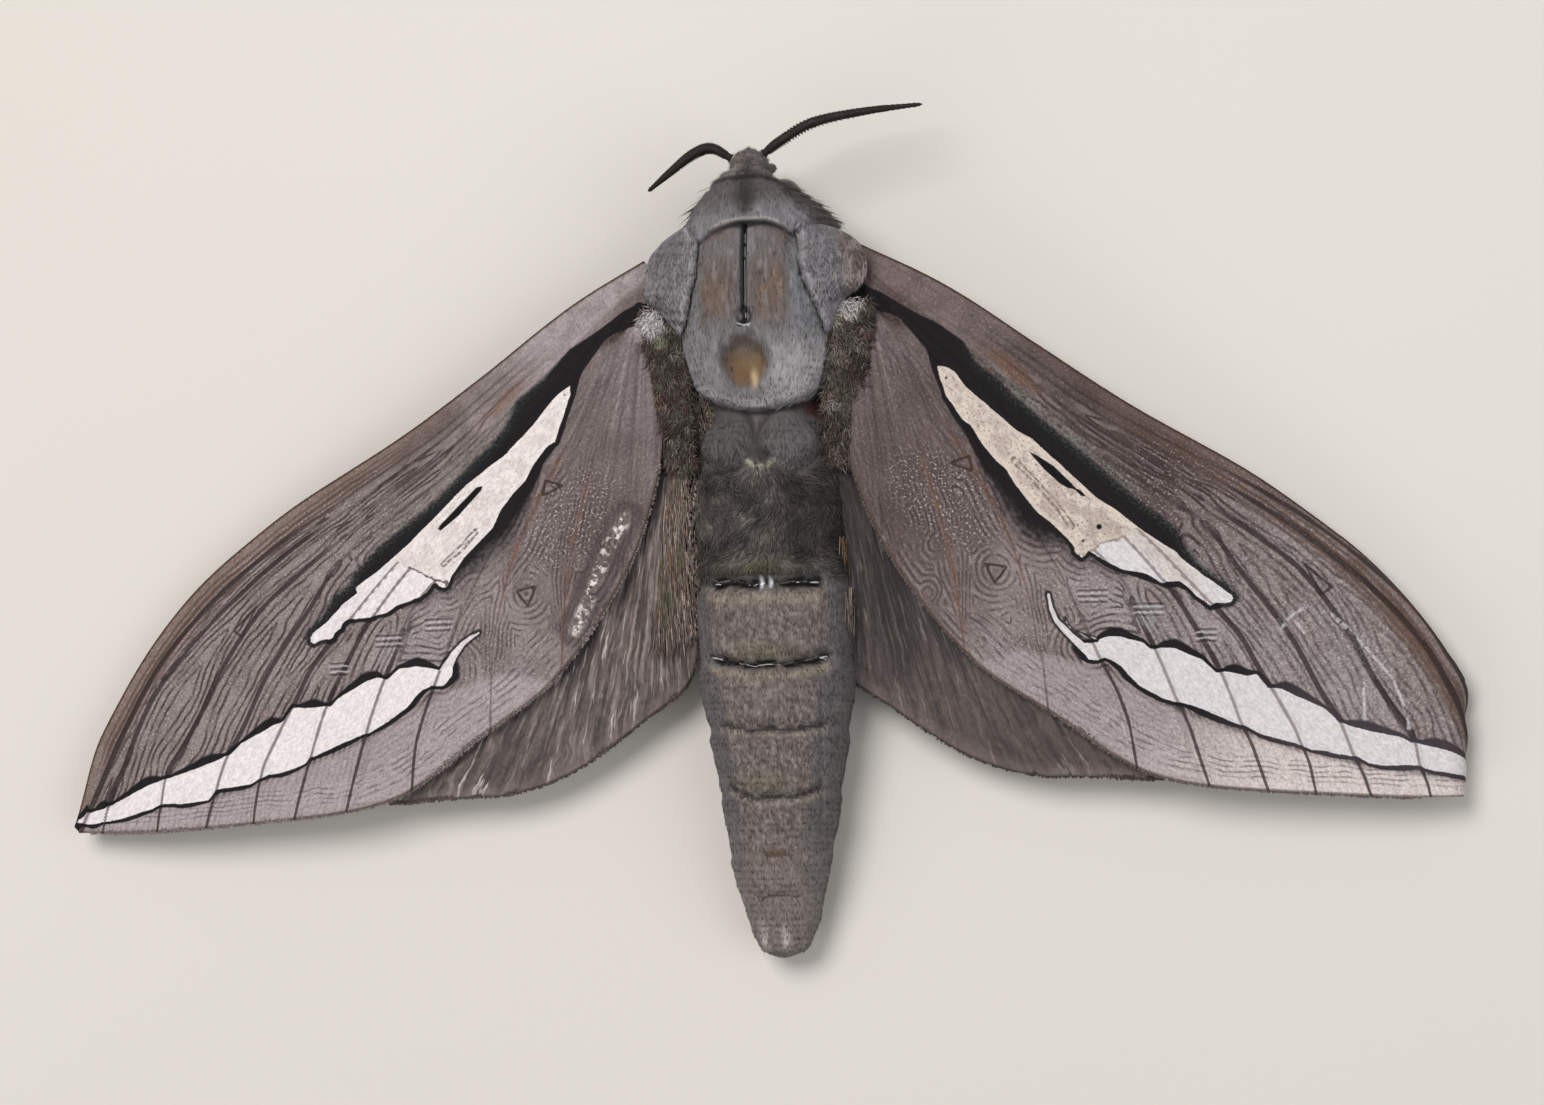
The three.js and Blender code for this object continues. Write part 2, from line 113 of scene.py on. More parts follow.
VEINS = [
    [(0, -2.6), (8, -4.0), (14, -4.6), (20, -5.2), (28, -6.9), (33.6, -8.1), (39.5, -8.7), (45.6, -8.4),
     (51, -6.8), (57, -4.3)],
    [(0, -2.3), (12, -3.9), (20, -4.6), (28, -6.1), (34, -7.2), (40, -7.6), (44, -7.5), (47.8, -6.9),
     (50.6, -5.9), (53.2, -4.6), (55.5, -3.6), (57, -2.7)],
    [(0, -2.0), (12, -3.3), (20, -3.6), (28.6, -4.6), (34.5, -5.3), (38.1, -5.4), (43.2, -4.3), (46.3, -3.1),
     (49.2, -2.2), (51.1, -1.7), (52.6, -0.6), (54.1, 0.5)],
    [(0, -1.7), (12, -2.3), (20, -2.3), (27, -3.2), (31.1, -3.6), (35.1, -2.7), (38.1, -2.1), (40.9, -1.4),
     (44.5, 0.0), (46.7, 0.7), (49, 1.9), (51.1, 3.1)],
    [(0, -1.4), (12, -0.9), (20, -0.2), (28, -0.3), (34, 0.2), (37.7, 0.6), (40, 1.4), (43, 2.4), (45.5, 3.4),
     (48.7, 5.7)],
    [(0, -1.2), (12, 0.2), (20, 0.6), (27, 0.6), (32.3, 1.3), (35, 2.1), (38.6, 3.4), (42, 5.2), (45.8, 7.4)],
    [(0, -1.0), (6, -0.4), (13.2, 0.8), (20, 1.8), (25.4, 2.5), (29.6, 3.0), (31.8, 4.1), (34.2, 5.1),
     (37.8, 6.9), (42.2, 9.5)],
    [(0, -0.8), (12, 1.5), (20, 3.5), (26, 5.4), (30, 7.2), (35.3, 9.8), (38.3, 12.2)],
    [(0, -0.7), (8, 1.2), (14, 2.9), (18, 4.2), (21.4, 5.6), (24.9, 7.7), (26.9, 9.2), (30.5, 12.6)],
    [(0, -0.5), (6, 1.6), (10, 3.4), (14.8, 6.3), (17.3, 7.9), (20.4, 10.2), (24, 13.4)],
    [(0, -0.3), (3.3, 1.6), (6.4, 4.2), (10, 7.2), (14, 10.4), (17, 12.8)],
]
OCHRE_VEINS = (9.0, 10.0)            # the veins' numbers, counted from the front
VEIN_REACH = 66.0

# The forewing's markings, as outlines in the wing's own millimetres; the two wings differ a little.
INNER_STREAK = {
    -1: [
        (9.9, -0.4), (10.9, -0.6), (11.6, -0.6), (14.1, -0.3), (17.1, -0.3), (20.3, -0.8), (26.4, -0.8),
        (29.1, -1.0), (31.4, -1.4), (31.5, -1.0), (32.9, -1.2), (34.6, -1.1), (35.9, -1.3), (36.3, -1.2),
        (36.5, -0.9), (36.4, -0.6), (35.9, -0.5), (35.5, -0.2), (35.3, 0.1), (35.0, 0.2), (34.7, 0.0),
        (34.1, 0.1), (33.7, -0.1), (33.1, 0.1), (32.0, 1.1), (31.4, 1.3), (30.9, 1.7), (29.9, 1.9),
        (28.3, 2.7), (27.6, 2.8), (27.0, 2.7), (26.7, 2.7), (26.7, 3.1), (26.5, 3.5), (26.2, 3.6),
        (25.6, 3.2), (23.9, 2.9), (21.0, 2.9), (19.6, 2.4), (18.1, 2.2), (16.9, 2.2), (15.7, 1.8),
        (14.1, 1.6), (13.4, 1.8), (11.2, 0.6), (10.3, 0.1),
    ],
    1: [
        (10.0, 0.0), (10.5, -0.4), (11.2, -0.5), (12.4, -0.2), (17.1, -0.2), (18.2, -0.4), (24.4, -0.2),
        (26.0, -0.4), (28.5, -0.5), (30.9, -0.9), (31.3, -0.8), (33.3, -0.9), (35.8, -1.1), (36.0, -0.9),
        (35.9, -0.6), (35.3, 0.0), (35.1, 0.4), (34.5, 0.4), (33.9, 0.5), (33.1, 0.4), (32.4, 0.5),
        (31.6, 1.3), (30.3, 1.6), (28.8, 2.5), (27.9, 2.7), (26.3, 2.9), (26.4, 3.3), (26.3, 3.6),
        (25.7, 3.6), (25.4, 3.3), (24.6, 3.2), (23.1, 3.1), (22.0, 3.2), (19.5, 2.7), (18.3, 2.3),
        (17.4, 2.3), (16.0, 2.1), (14.5, 1.6), (13.8, 1.7), (13.1, 1.5), (11.9, 1.2), (11.1, 0.7),
        (10.4, 0.3),
    ],
}
OUTER_STREAK = {
    -1: [
        (29.8, 7.9), (30.6, 7.7), (31.8, 6.1), (32.9, 5.3), (34.1, 5.2), (34.5, 4.6), (35.3, 4.2),
        (37.8, 3.6), (38.5, 3.6), (39.5, 2.8), (40.6, 1.7), (41.9, 1.9), (42.6, 1.5), (45.4, 0.7),
        (46.6, 0.7), (49.2, -0.4), (52.8, -2.2), (56.4, -3.3), (57.7, -4.1), (58.9, -4.3), (58.1, -3.3),
        (56.0, -1.9), (53.7, -0.7), (52.7, -0.3), (51.8, 0.6), (50.8, 1.4), (49.9, 2.0), (48.9, 1.9),
        (46.8, 3.4), (45.4, 3.8), (44.6, 4.4), (43.6, 4.9), (42.6, 5.3), (42.1, 5.2), (41.5, 5.5),
        (38.5, 6.6), (37.7, 7.0), (36.3, 7.4), (34.4, 7.7), (33.4, 7.6), (32.6, 7.6), (31.9, 7.9),
        (31.4, 8.4), (31.1, 8.5), (30.3, 8.4),
    ],
    1: [
        (30.2, 8.3), (30.3, 7.9), (30.9, 7.3), (30.9, 7.0), (31.3, 6.4), (31.8, 6.0), (33.3, 5.3),
        (33.8, 5.3), (34.2, 5.1), (34.5, 4.7), (35.1, 4.2), (37.0, 3.6), (38.4, 3.6), (38.9, 3.1),
        (40.1, 2.4), (40.5, 1.9), (41.7, 2.1), (42.4, 1.6), (45.5, 0.7), (46.4, 0.7), (46.9, 0.8),
        (48.8, -0.1), (50.5, -1.1), (51.3, -1.3), (53.3, -2.4), (54.8, -2.9), (56.4, -3.4), (57.2, -2.8),
        (55.5, -2.0), (53.1, -0.5), (52.7, -0.5), (50.8, 1.2), (50.1, 1.6), (49.2, 1.8), (48.1, 2.5),
        (47.3, 2.9), (46.5, 3.5), (45.6, 3.7), (45.1, 4.0), (43.4, 4.8), (41.9, 5.2), (41.3, 5.5),
        (38.7, 6.3), (36.8, 7.3), (35.0, 7.7), (33.1, 7.5), (32.3, 7.6), (31.9, 7.8), (31.7, 8.2),
        (31.2, 8.6),
    ],
}
# The hooks at the outer streak's inner end: a line, its half width at the tip, and what each millimetre adds.
HOOKS = {-1: ([(31.2, 8.1), (30.2, 7.75), (29.2, 7.45), (28.2, 7.35), (27.4, 7.45),
               (26.8, 7.6)], 0.05, 0.075),
         1: ([(30.8, 8.2), (29.2, 8.15), (27.8, 8.0), (27.0, 7.6), (26.2, 7.0)], 0.07, 0.04)}
SECOND_HOOK = [(30.8, 7.1), (30.3, 7.4), (29.5, 7.7), (28.9, 7.8), (28.1, 7.5)]
FOLD = [(13.4, 9.4), (15.6, 9.9), (17.9, 10.9), (19.4, 11.6), (21.6, 12.4)]
SLOT = {-1: [(19.4, 0.2), (19.8, -0.1), (23.6, -0.1), (24.1, 0.0), (23.9, 0.3), (22.2, 0.5), (19.7, 0.4)],
        1: [(18.57, 0.35), (20.68, 0.01), (22.44, 0.15), (22.78, 0.23), (23.13, 0.11), (23.61, 0.15),
            (23.8, 0.27), (23.5, 0.44), (22.82, 0.38), (22.46, 0.59), (21.82, 0.69), (20.35, 0.66),
            (19.13, 0.51), (18.69, 0.43)]}
SPOTS = {-1: [(10.7, -0.2, 0.12)], 1: [(11.0, 0.2, 0.14), (25.8, 1.2, 0.22), (25.6, 2.6, 0.15),
              (24.6, 2.1, 0.14)]}
SEAMS = {-1: [(22.0, 2.2), (23.6, 2.3), (25.4, 2.2)],
         1: [(18.3, 1.5), (20.0, 1.6), (21.3, 1.8), (22.8, 2.0), (24.4, 2.4)]}
DARK_BAND = {
    -1: [
        (1.3, 0.3), (2.3, -1.1), (5.2, -1.7), (8.2, -2.3), (11.0, -2.2), (13.5, -2.5), (15.5, -1.8),
        (17.1, -1.6), (18.1, -1.7), (23.0, -1.7), (28.1, -2.3), (30.6, -2.3), (31.7, -1.9), (33.0, -2.2),
        (34.8, -1.7), (35.9, -1.8), (36.7, -1.6), (36.8, -1.0), (36.5, -0.6), (35.1, 0.4), (33.9, 0.2),
        (33.3, 0.3), (32.6, 0.8), (32.1, 1.3), (31.5, 1.6), (30.8, 2.1), (30.0, 2.2), (28.2, 3.0),
        (27.3, 3.1), (26.5, 3.9), (24.7, 4.0), (23.8, 4.3), (22.2, 4.3), (21.5, 4.4), (19.9, 4.3),
        (19.1, 4.1), (17.4, 3.4), (15.1, 2.3), (13.2, 2.0), (12.2, 1.6), (9.3, 0.0), (8.6, -0.4),
        (5.8, -0.9), (4.6, -0.45), (3.4, 0.1),
    ],
    1: [
        (1.3, 0.3), (2.3, -1.1), (5.2, -1.7), (8.2, -2.3), (10.2, -2.5), (12.0, -2.0), (13.9, -2.2),
        (15.2, -2.0), (23.7, -2.0), (25.2, -2.0), (26.6, -2.0), (27.9, -2.1), (30.0, -2.2), (31.4, -1.6),
        (32.6, -1.3), (35.0, -1.5), (36.0, -1.4), (36.4, -1.1), (36.2, -0.4), (35.5, 0.4), (35.0, 0.7),
        (34.1, 0.8), (33.2, 0.7), (32.6, 0.9), (32.1, 1.4), (28.3, 2.9), (27.3, 3.1), (26.8, 3.4),
        (26.5, 3.8), (25.8, 4.0), (24.9, 3.9), (23.2, 4.8), (22.3, 5.0), (21.2, 4.9), (19.0, 4.2),
        (18.1, 3.7), (17.2, 3.5), (16.3, 3.0), (14.7, 2.3), (12.8, 1.8), (10.1, 0.5), (8.6, -0.4),
        (5.8, -0.9), (4.6, -0.45), (3.4, 0.1),
    ],
}
TERMEN_BAND = [
    (24.0, 15.5), (27.5, 10.8), (31.2, 8.9), (34.3, 8.1), (36.9, 7.6), (40.7, 6.2), (45.9, 4.0), (50.4, 1.7),
    (55.6, -1.7), (58.5, -3.4), (62, -2.0), (58.0, 4.0), (46.0, 14.0), (30.0, 17.0),
]
TRIANGLES = [
    [(21.5, 8.2), (22.8, 7.4), (22.9, 8.8)],
    [(37.9, -5.9), (40.4, -5.9), (40.2, -5.0)],
    [(15.1, 4.5), (15.8, 3.3), (16.7, 3.9)],
]
DASHES = [(28.6, 5.1, 0.9), (32.1, 3.3, 0.9), (36.2, 2.1, 0.6)]
SCRATCHES = {-1: [], 1: [
    [(41.6, -4.5), (42.9, -4.4), (45.0, -4.2), (47.6, -3.8), (49.3, -2.9), (50.6, -1.9)],
    [(46.2, -2.4), (47.3, -1.2), (48.6, 0.2)], [(39.7, -1.5), (39.6, -2.5), (40.0, -3.8)],
    [(39.7, -1.8), (40.2, -2.5), (41.1, -2.3)],
]}
CONTOUR_CENTRES = [(18.1, 9.2, 0.9), (22.4, 8.1, 1.0), (19.8, 12.3, 0.9), (16.0, 4.1, 0.8)]

# Tufts between thorax and wings: x, y, reach, colour, share.
WING_BASE_SPOTS = {
    -1: [(-7.0, 0.8, 1.15, (206, 198, 198), 1.0), (-6.4, -0.6, 0.6, (134, 136, 112), 0.8),
         (-8.0, -3.0, 1.0, (74, 56, 42), 0.8), (-7.0, -4.7, 0.7, (104, 78, 54), 0.8),
         (-6.6, -6.2, 0.9, (78, 56, 50), 0.5)],
    1: [(7.0, 1.5, 1.1, (196, 188, 186), 1.0), (5.8, 0.6, 0.7, (158, 156, 140), 0.9),
        (7.3, -3.1, 0.9, (60, 48, 40), 0.8), (6.1, -3.9, 0.8, (88, 84, 70), 0.7),
        (6.2, -2.0, 0.9, (122, 112, 104), 0.7), (5.6, -5.5, 0.5, (150, 142, 138), 0.8)],
}

# Feelers, palps and legs: the places of their joints in the moth's frame. Palps and legs are mirrored.
ANTENNAE = {
    "left": [(-1.2, 12.2, 7.1), (-2.6, 12.95, 7.4), (-4.0, 12.6, 7.2), (-5.7, 11.5, 6.8), (-7.4, 10.3, 6.4)],
    "right": [(1.1, 12.4, 7.1), (2.4, 13.2, 7.4), (4.7, 14.4, 7.3), (8.3, 15.1, 6.8), (12.3, 15.5, 6.2)],
}
PALP = [(0.45, 11.0, 4.0), (0.55, 11.3, 3.7), (0.7, 12.0, 3.0), (0.75, 12.3, 2.2)]
LEGS = {
    "front": [(1.6, 7.4, 3.4), (4.7, 6.3, 3.4), (7.3, 4.6, 0.8), (8.9, 3.4, 0.24), (10.6, 2.1, 0.22)],
    "mid": [(2.2, 1.9, 2.9), (6.7, 0.3, 3.6), (10.9, -3.4, 0.8), (12.4, -5.0, 0.24), (14.0, -6.6, 0.22)],
    "hind": [(2.3, -2.2, 2.9), (6.9, -6.4, 3.3), (10.4, -11.8, 0.8), (11.4, -13.8, 0.24),
             (12.4, -15.8, 0.22)],
}
# Tegulae: inner and outer edge from front to rear, x and y, and the outer edge's heights.
TEGULAE = {
    "left": {
        "inner": [(-3.7, 6.75), (-3.2, 6.0), (-3.25, 4.9), (-3.36, 3.7), (-3.8, 1.95), (-4.15, 0.6),
                  (-4.5, -0.2)],
        "outer": [(-4.4, 7.2), (-6.0, 6.4), (-7.1, 5.4), (-7.5, 3.9), (-7.45, 2.5), (-6.2, 1.3),
                  (-4.95, -0.25)],
        "heights": (8.7, 7.5, 7.3, 8.3),
    },
    "right": {
        "inner": [(3.5, 6.75), (3.8, 6.2), (3.9, 5.0), (3.95, 3.9), (4.5, 2.3), (5.1, 0.8), (5.4, -0.3)],
        "outer": [(4.5, 7.15), (6.2, 6.8), (7.7, 5.9), (8.35, 4.6), (8.1, 3.0), (6.5, 1.5), (5.85, -0.35)],
        "heights": (8.6, 7.6, 7.3, 8.1),
    },
}

# The camera looks down on the wing roots; pixels are those of a frame FRAME_WIDTH wide.
FRAME_WIDTH, FRAME_HEIGHT = 1544, 1105
SENSOR = 36.0
FOCAL_PIXELS = 3421.0
LOOK_DISTANCE = 239.47
LOOK_PIXEL = (751.0, 330.0)
CAMERA_TURNS = (math.radians(11.15), math.radians(4.47), math.radians(0.90))


def shade(red, green, blue):
    """A screen colour, 0 to 255, as the linear colour that shaders use."""
    level = np.array((red, green, blue)) / 255
    linear = np.where(level <= 0.04045, level / 12.92, ((level + 0.055) / 1.055) ** 2.4)
    return tuple(float(value) for value in linear)


def colour_property(name, description, red, green, blue):
    return bpy.props.FloatVectorProperty(name=name, description=description, default=shade(red, green, blue),
                                         size=3, min=0, max=1, subtype="COLOR",)


class MothSizes(bpy.types.PropertyGroup):
    """Sizes that change the moth's finish, and not its outline."""
    wing_thickness: bpy.props.FloatProperty(
        name="Wing thickness", description="Thickness of the wing between its edges", default=0.34 * MM,
        min=0.1 * MM, max=0.5 * MM, unit="LENGTH", precision=5)
    coat_depth: bpy.props.FloatProperty(
        name="Coat depth", description="How far the skin lies under the frame's surface", default=0.18 * MM,
        min=0, max=0.6 * MM, unit="LENGTH", precision=5)
    scale_length: bpy.props.FloatProperty(
        name="Scale length", description="Length of the flat scales on the back", default=0.62 * MM,
        min=0.2 * MM, max=3 * MM, unit="LENGTH", precision=5)
    hair_length: bpy.props.FloatProperty(
        name="Hair length", description="Length of the longer hair on the body and the wing roots",
        default=1.5 * MM, min=0.5 * MM, max=5 * MM, unit="LENGTH", precision=5)
    fringe_length: bpy.props.FloatProperty(
        name="Fringe length", description="Length of the scales along the wings' edges", default=0.24 * MM,
        min=0.1 * MM, max=1.5 * MM, unit="LENGTH", precision=5)
    seed: bpy.props.IntProperty(name="Seed", description="Start of every random draw", default=7, min=0)


class MothColours(bpy.types.PropertyGroup):
    """The moth's colours."""
    ground: colour_property("Forewing", "Ground colour of the forewing", 126, 114, 113)
    margin: colour_property("Margin", "Pale band along the forewing's outer edge", 152, 140, 141)
    lines: colour_property("Lines", "Fine dark lines and veins", 44, 34, 34)
    velvet: colour_property("Velvet", "Black bands beside the white streaks", 7, 5, 8)
    streak: colour_property("Streak", "The white streaks", 216, 209, 208)
    cream: colour_property("Cream", "The inner part of the first streak", 194, 181, 170)
    ochre: colour_property("Ochre", "Rusty veins and flecks", 116, 78, 50)
    costa: colour_property("Costa", "The brown stripes on the front edge", 82, 60, 48)
    hindwing: colour_property("Hindwing", "Ground colour of the hindwing", 86, 75, 72)
    plate: colour_property("Plates", "Blue-grey scales of the thorax", 104, 102, 105)
    lobe: colour_property("Lobes", "Brown stripes beside the slit", 83, 71, 67)
    patch: colour_property("Bare patch", "Bare amber patch on the thorax", 96, 71, 42)
    fuzz: colour_property("Fuzz", "Dark hair behind the thorax", 80, 74, 71)
    ring: colour_property("Rings", "Scales on the abdomen's rings", 96, 86, 83)
    chitin: colour_property("Chitin", "Feelers, claws and bare shell", 24, 15, 13)
    leg: colour_property("Legs", "Hair on the legs", 96, 80, 68)
    eye: colour_property("Eyes", "The eyes", 26, 18, 15)
    floor: colour_property("Floor", "The floor of the stage", 206, 201, 194)


def sizes():
    return bpy.context.scene.moth_sizes


def colours():
    return bpy.context.scene.moth_colours


def made_once(build):
    """Wraps a function without inputs, so that it builds its thing at the first call and keeps it."""
    kept = []

    def get():
        if not kept:
            kept.append(build())
        return kept[0]

    return get


# ---- numbers ------------------------------------------------------------------------------
def eased(value, low, high):
    """0 below low, 1 above high, and smooth between them."""
    t = np.clip((value - low) / (high - low), 0, 1)
    return t * t * (3 - 2 * t)


def through(points, x):
    """A smooth curve through points (x, y), read at x."""
    knots = np.array(sorted(points), float)
    at, value = knots[:, 0], knots[:, 1]
    before = np.maximum(np.arange(len(at)) - 1, 0)
    after = np.minimum(np.arange(len(at)) + 1, len(at) - 1)
    slope = (value[after] - value[before]) / (at[after] - at[before])
    i = np.clip(np.searchsorted(at, x, side="left") - 1, 0, len(at) - 2)
    span = at[i + 1] - at[i]
    t = np.clip((x - at[i]) / span, 0, 1)
    rise, fall, change = slope[i] * span, slope[i + 1] * span, value[i + 1] - value[i]
    return value[i] + t * (rise + t * (3 * change - 2 * rise - fall + t * (rise + fall - 2 * change)))


def ripple(u, v, size, seed):
    """Smooth noise from -1 to 1 over a plane, with patches about size across."""
    grid = np.random.default_rng(seed).uniform(-1, 1, (64, 64))
    a, b = np.asarray(u) / size + 17.3, np.asarray(v) / size + 31.7
    i, j = np.floor(a).astype(int), np.floor(b).astype(int)
    s, t = a - i, b - j
    s, t = s * s * (3 - 2 * s), t * t * (3 - 2 * t)
    corner = [grid[(i + p) % 64, (j + q) % 64] for p in (0, 1) for q in (0, 1)]
    near = corner[0] * (1 - t) + corner[1] * t
    far = corner[2] * (1 - t) + corner[3] * t
    return near * (1 - s) + far * s


def from_pieces(pieces, u, v):
    """Distance to the nearest of some straight pieces of line, given by their ends."""
    nearest = np.full(np.shape(u), 1e9)
    for a, b in pieces:
        along = b - a
        t = np.clip(((u - a[0]) * along[0] + (v - a[1]) * along[1]) / (along @ along), 0, 1)
        nearest = np.minimum(nearest, np.hypot(u - a[0] - t * along[0], v - a[1] - t * along[1]))
    return nearest


def depth_inside(outline, u, v):
    """Distance to a closed outline, in its own units, positive inside it."""
    points = np.array(outline, float)
    pieces = list(zip(points, np.roll(points, -1, axis=0)))
    inside = np.zeros(np.shape(u), bool)
    for a, b in pieces:
        along = b - a
        rise = along[1] if along[1] else 1e-12
        inside ^= ((a[1] > v) != (b[1] > v)) & (u < a[0] + (v - a[1]) * along[0] / rise)
    nearest = from_pieces(pieces, u, v)
    return np.where(inside, nearest, -nearest)


def from_line(line, u, v):
    """Distance to a line through points, in its own units."""
    points = np.array(line, float)
    return from_pieces(zip(points, points[1:]), u, v)


def bump(distance, width):
    """1 at no distance, and nearly 0 at twice the width."""
    return np.exp(-((distance / width) ** 2))


def spot(dx, dy, width, length):
    """A bump round a point, longer one way than the other."""
    return np.exp(-(np.hypot(dx / width, dy / length) ** 2))


def oval(x, y, centre, reach):
    """How far out points lie in an ellipse: 0 at its centre, 1 on its edge."""
    return np.hypot((x - centre[0]) / reach[0], (y - centre[1]) / reach[1])


def unit(vectors):
    return vectors / np.maximum(np.linalg.norm(vectors, axis=-1, keepdims=True), 1e-12)


class Tints:
    """The colours of many points, which further colours are laid over."""

    def __init__(self, colour, count):
        self.rgb = np.tile(np.array(colour), (count, 1))

    def lay(self, over, mask):
        """Lays a colour over these, as far as the mask says."""
        mask = np.clip(mask, 0, 1)[:, None]
        self.rgb = self.rgb * (1 - mask) + np.array(over) * mask


# ---- meshes -------------------------------------------------------------------------------
def only(piece):
    """Makes a piece the one that operators act on."""
    bpy.ops.object.select_all(action="DESELECT")
    piece.select_set(True)
    bpy.context.view_layer.objects.active = piece


def primitive(add, name, **settings):
    bpy.ops.object.select_all(action="DESELECT")
    add(**settings)
    piece = bpy.context.active_object
    piece.name = piece.data.name = name
    bpy.ops.object.transform_apply(location=True, rotation=True, scale=True)
    return piece


def places_of(mesh, source="co"):
    values = np.empty(len(mesh.vertices) * 3, np.float32)
    mesh.vertices.foreach_get(source, values)
    return values.reshape(-1, 3).astype(float)


def move_to(piece, places):
    """Puts a mesh's vertices at places in metres."""
    piece.data.vertices.foreach_set("co", places.astype(np.float32).ravel())
    piece.data.update()


def outward(piece):
    only(piece)
    bpy.ops.object.mode_set(mode="EDIT")
    bpy.ops.mesh.select_all(action="SELECT")
    bpy.ops.mesh.normals_make_consistent(inside=False)
    bpy.ops.object.mode_set(mode="OBJECT")


def write_field(mesh, name, values, kind):
    key = {"FLOAT": "value", "FLOAT_VECTOR": "vector", "FLOAT_COLOR": "color"}[kind]
    field = mesh.attributes.new(name, kind, "POINT")
    field.data.foreach_set(key, np.asarray(values, np.float32).ravel())


def write_tint(mesh, tint):
    write_field(mesh, "tint", np.c_[tint, np.ones(len(tint))], "FLOAT_COLOR")


def mesh_of_triangles(name, places, triangles):
    mesh = bpy.data.meshes.new(name)
    mesh.vertices.add(len(places))
    mesh.vertices.foreach_set("co", places.astype(np.float32).ravel())
    mesh.loops.add(len(triangles) * 3)
    mesh.loops.foreach_set("vertex_index", triangles.astype(np.int32).ravel())
    mesh.polygons.add(len(triangles))
    mesh.polygons.foreach_set("loop_start", np.arange(0, len(triangles) * 3, 3, dtype=np.int32))
    mesh.update(calc_edges=True)
    mesh.shade_smooth()
    return mesh


def finish_piece(piece, replaced=()):
    """Makes a piece ride on the model, and hides the frame's parts that it stands for."""
    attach(piece, "root")
    if replaced:
        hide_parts(*replaced)


def to_model(places):
    """Millimetres in the moth's frame as metres in the model's."""
    return (places + ORIGIN) * MM


def to_moth(places):
    return places / MM - ORIGIN


# ---- shader parts -------------------------------------------------------------------------
class Nodes:
    """Adds shader nodes to one tree and links them."""

    def __init__(self, tree):
        self.tree = tree
        self.colour = None

    def add(self, kind, inputs=(), **settings):
        node = self.tree.nodes.new("ShaderNode" + kind)
        for name, value in settings.items():
            setattr(node, name, value)
        for name, value in dict(inputs).items():
            self.feed(node.inputs[name], value)
        return node

    def feed(self, socket, value):
        if isinstance(value, bpy.types.NodeSocket):
            self.tree.links.new(value, socket)
        elif hasattr(value, "__len__") and socket.type == "RGBA":
            socket.default_value = (*value[:3], 1)
        else:
            socket.default_value = value

    def math(self, operation, *values, clamp=False):
        node = self.add("Math", operation=operation, use_clamp=clamp)
        for socket, value in zip(node.inputs, values):
            self.feed(socket, value)
        return node.outputs[0]

    def plus(self, first, second):
        return self.math("ADD", first, second)

    def less(self, first, second):
        return self.math("SUBTRACT", first, second)

    def rest(self, value):
        return self.less(1.0, value)

    def most(self, first, second):
        return self.math("MAXIMUM", first, second)

    def ratio(self, first, second):
        return self.math("DIVIDE", first, second)

    def absolute(self, value):
        return self.math("ABSOLUTE", value)

    def fract(self, value):
        return self.math("FRACT", value)

    def product(self, *values):
        result = values[0]
        for value in values[1:]:
            result = self.math("MULTIPLY", result, value)
        return result

    def mix(self, factor, under, over, kind="MIX"):
        node = self.add("Mix", data_type="RGBA", blend_type=kind, clamp_factor=True)
        for socket, value in zip((node.inputs[0], node.inputs[6], node.inputs[7]), (factor, under, over)):
            self.feed(socket, value)
        return node.outputs[2]

    def lay(self, over, *masks):
        """Lays a colour over the finish's colour, as far as the masks say."""
        self.colour = self.mix(self.product(*masks), self.colour, over)

    def between(self, factor, first, second):
        """A value: first where the factor is 0, second where it is 1."""
        node = self.add("Mix", data_type="FLOAT", clamp_factor=True)
        for socket, value in zip((node.inputs[0], node.inputs[2], node.inputs[3]), (factor, first, second)):
            self.feed(socket, value)
        return node.outputs[0]

    def band(self, value, low, high, start=0.0, end=1.0):
        """start below low, end above high, smooth between them."""
        node = self.add("MapRange", interpolation_type="SMOOTHSTEP")
        for socket, number in zip(node.inputs, (value, low, high, start, end)):
            self.feed(socket, number)
        return node.outputs[0]

    def lit(self, colour, light):
        """A colour made lighter or darker by a number."""
        grey = self.add("CombineColor", {"Red": light, "Green": light, "Blue": light}).outputs[0]
        return self.mix(1.0, colour, grey, "MULTIPLY")

    def millimetres(self):
        """The shaded point's place on the piece, in millimetres."""
        place = self.add("TexCoord").outputs["Object"]
        return self.add("VectorMath", {0: place, "Scale": 1 / MM}, operation="SCALE").outputs[0]

    def parts(self, vector):
        return self.add("SeparateXYZ", {"Vector": vector}).outputs

    def field(self, name, output="Vector"):
        return self.add("Attribute", attribute_name=name).outputs[output]

    def place(self, x, y, z=0.0):
        return self.add("CombineXYZ", {"X": x, "Y": y, "Z": z}).outputs[0]

    def noise(self, place, scale, detail=2.0, roughness=0.5):
        return self.add("TexNoise", {"Vector": place, "Scale": scale, "Detail": detail,
                                     "Roughness": roughness}).outputs["Fac"]

    def group(self, tree, **inputs):
        node = self.add("Group", node_tree=tree)
        for name, value in inputs.items():
            self.feed(node.inputs[name], value)
        return node.outputs


def new_group(name, inputs, outputs):
    """An empty node group with named inputs (kind, default) and outputs (kind)."""
    tree = bpy.data.node_groups.new(name, "ShaderNodeTree")
    for label, (kind, default) in inputs.items():
        socket = tree.interface.new_socket(label, in_out="INPUT", socket_type=kind)
        socket.default_value = default
    for label, kind in outputs.items():
        tree.interface.new_socket(label, in_out="OUTPUT", socket_type=kind)
    n = Nodes(tree)
    return n, n.tree.nodes.new("NodeGroupInput").outputs, n.tree.nodes.new("NodeGroupOutput").inputs


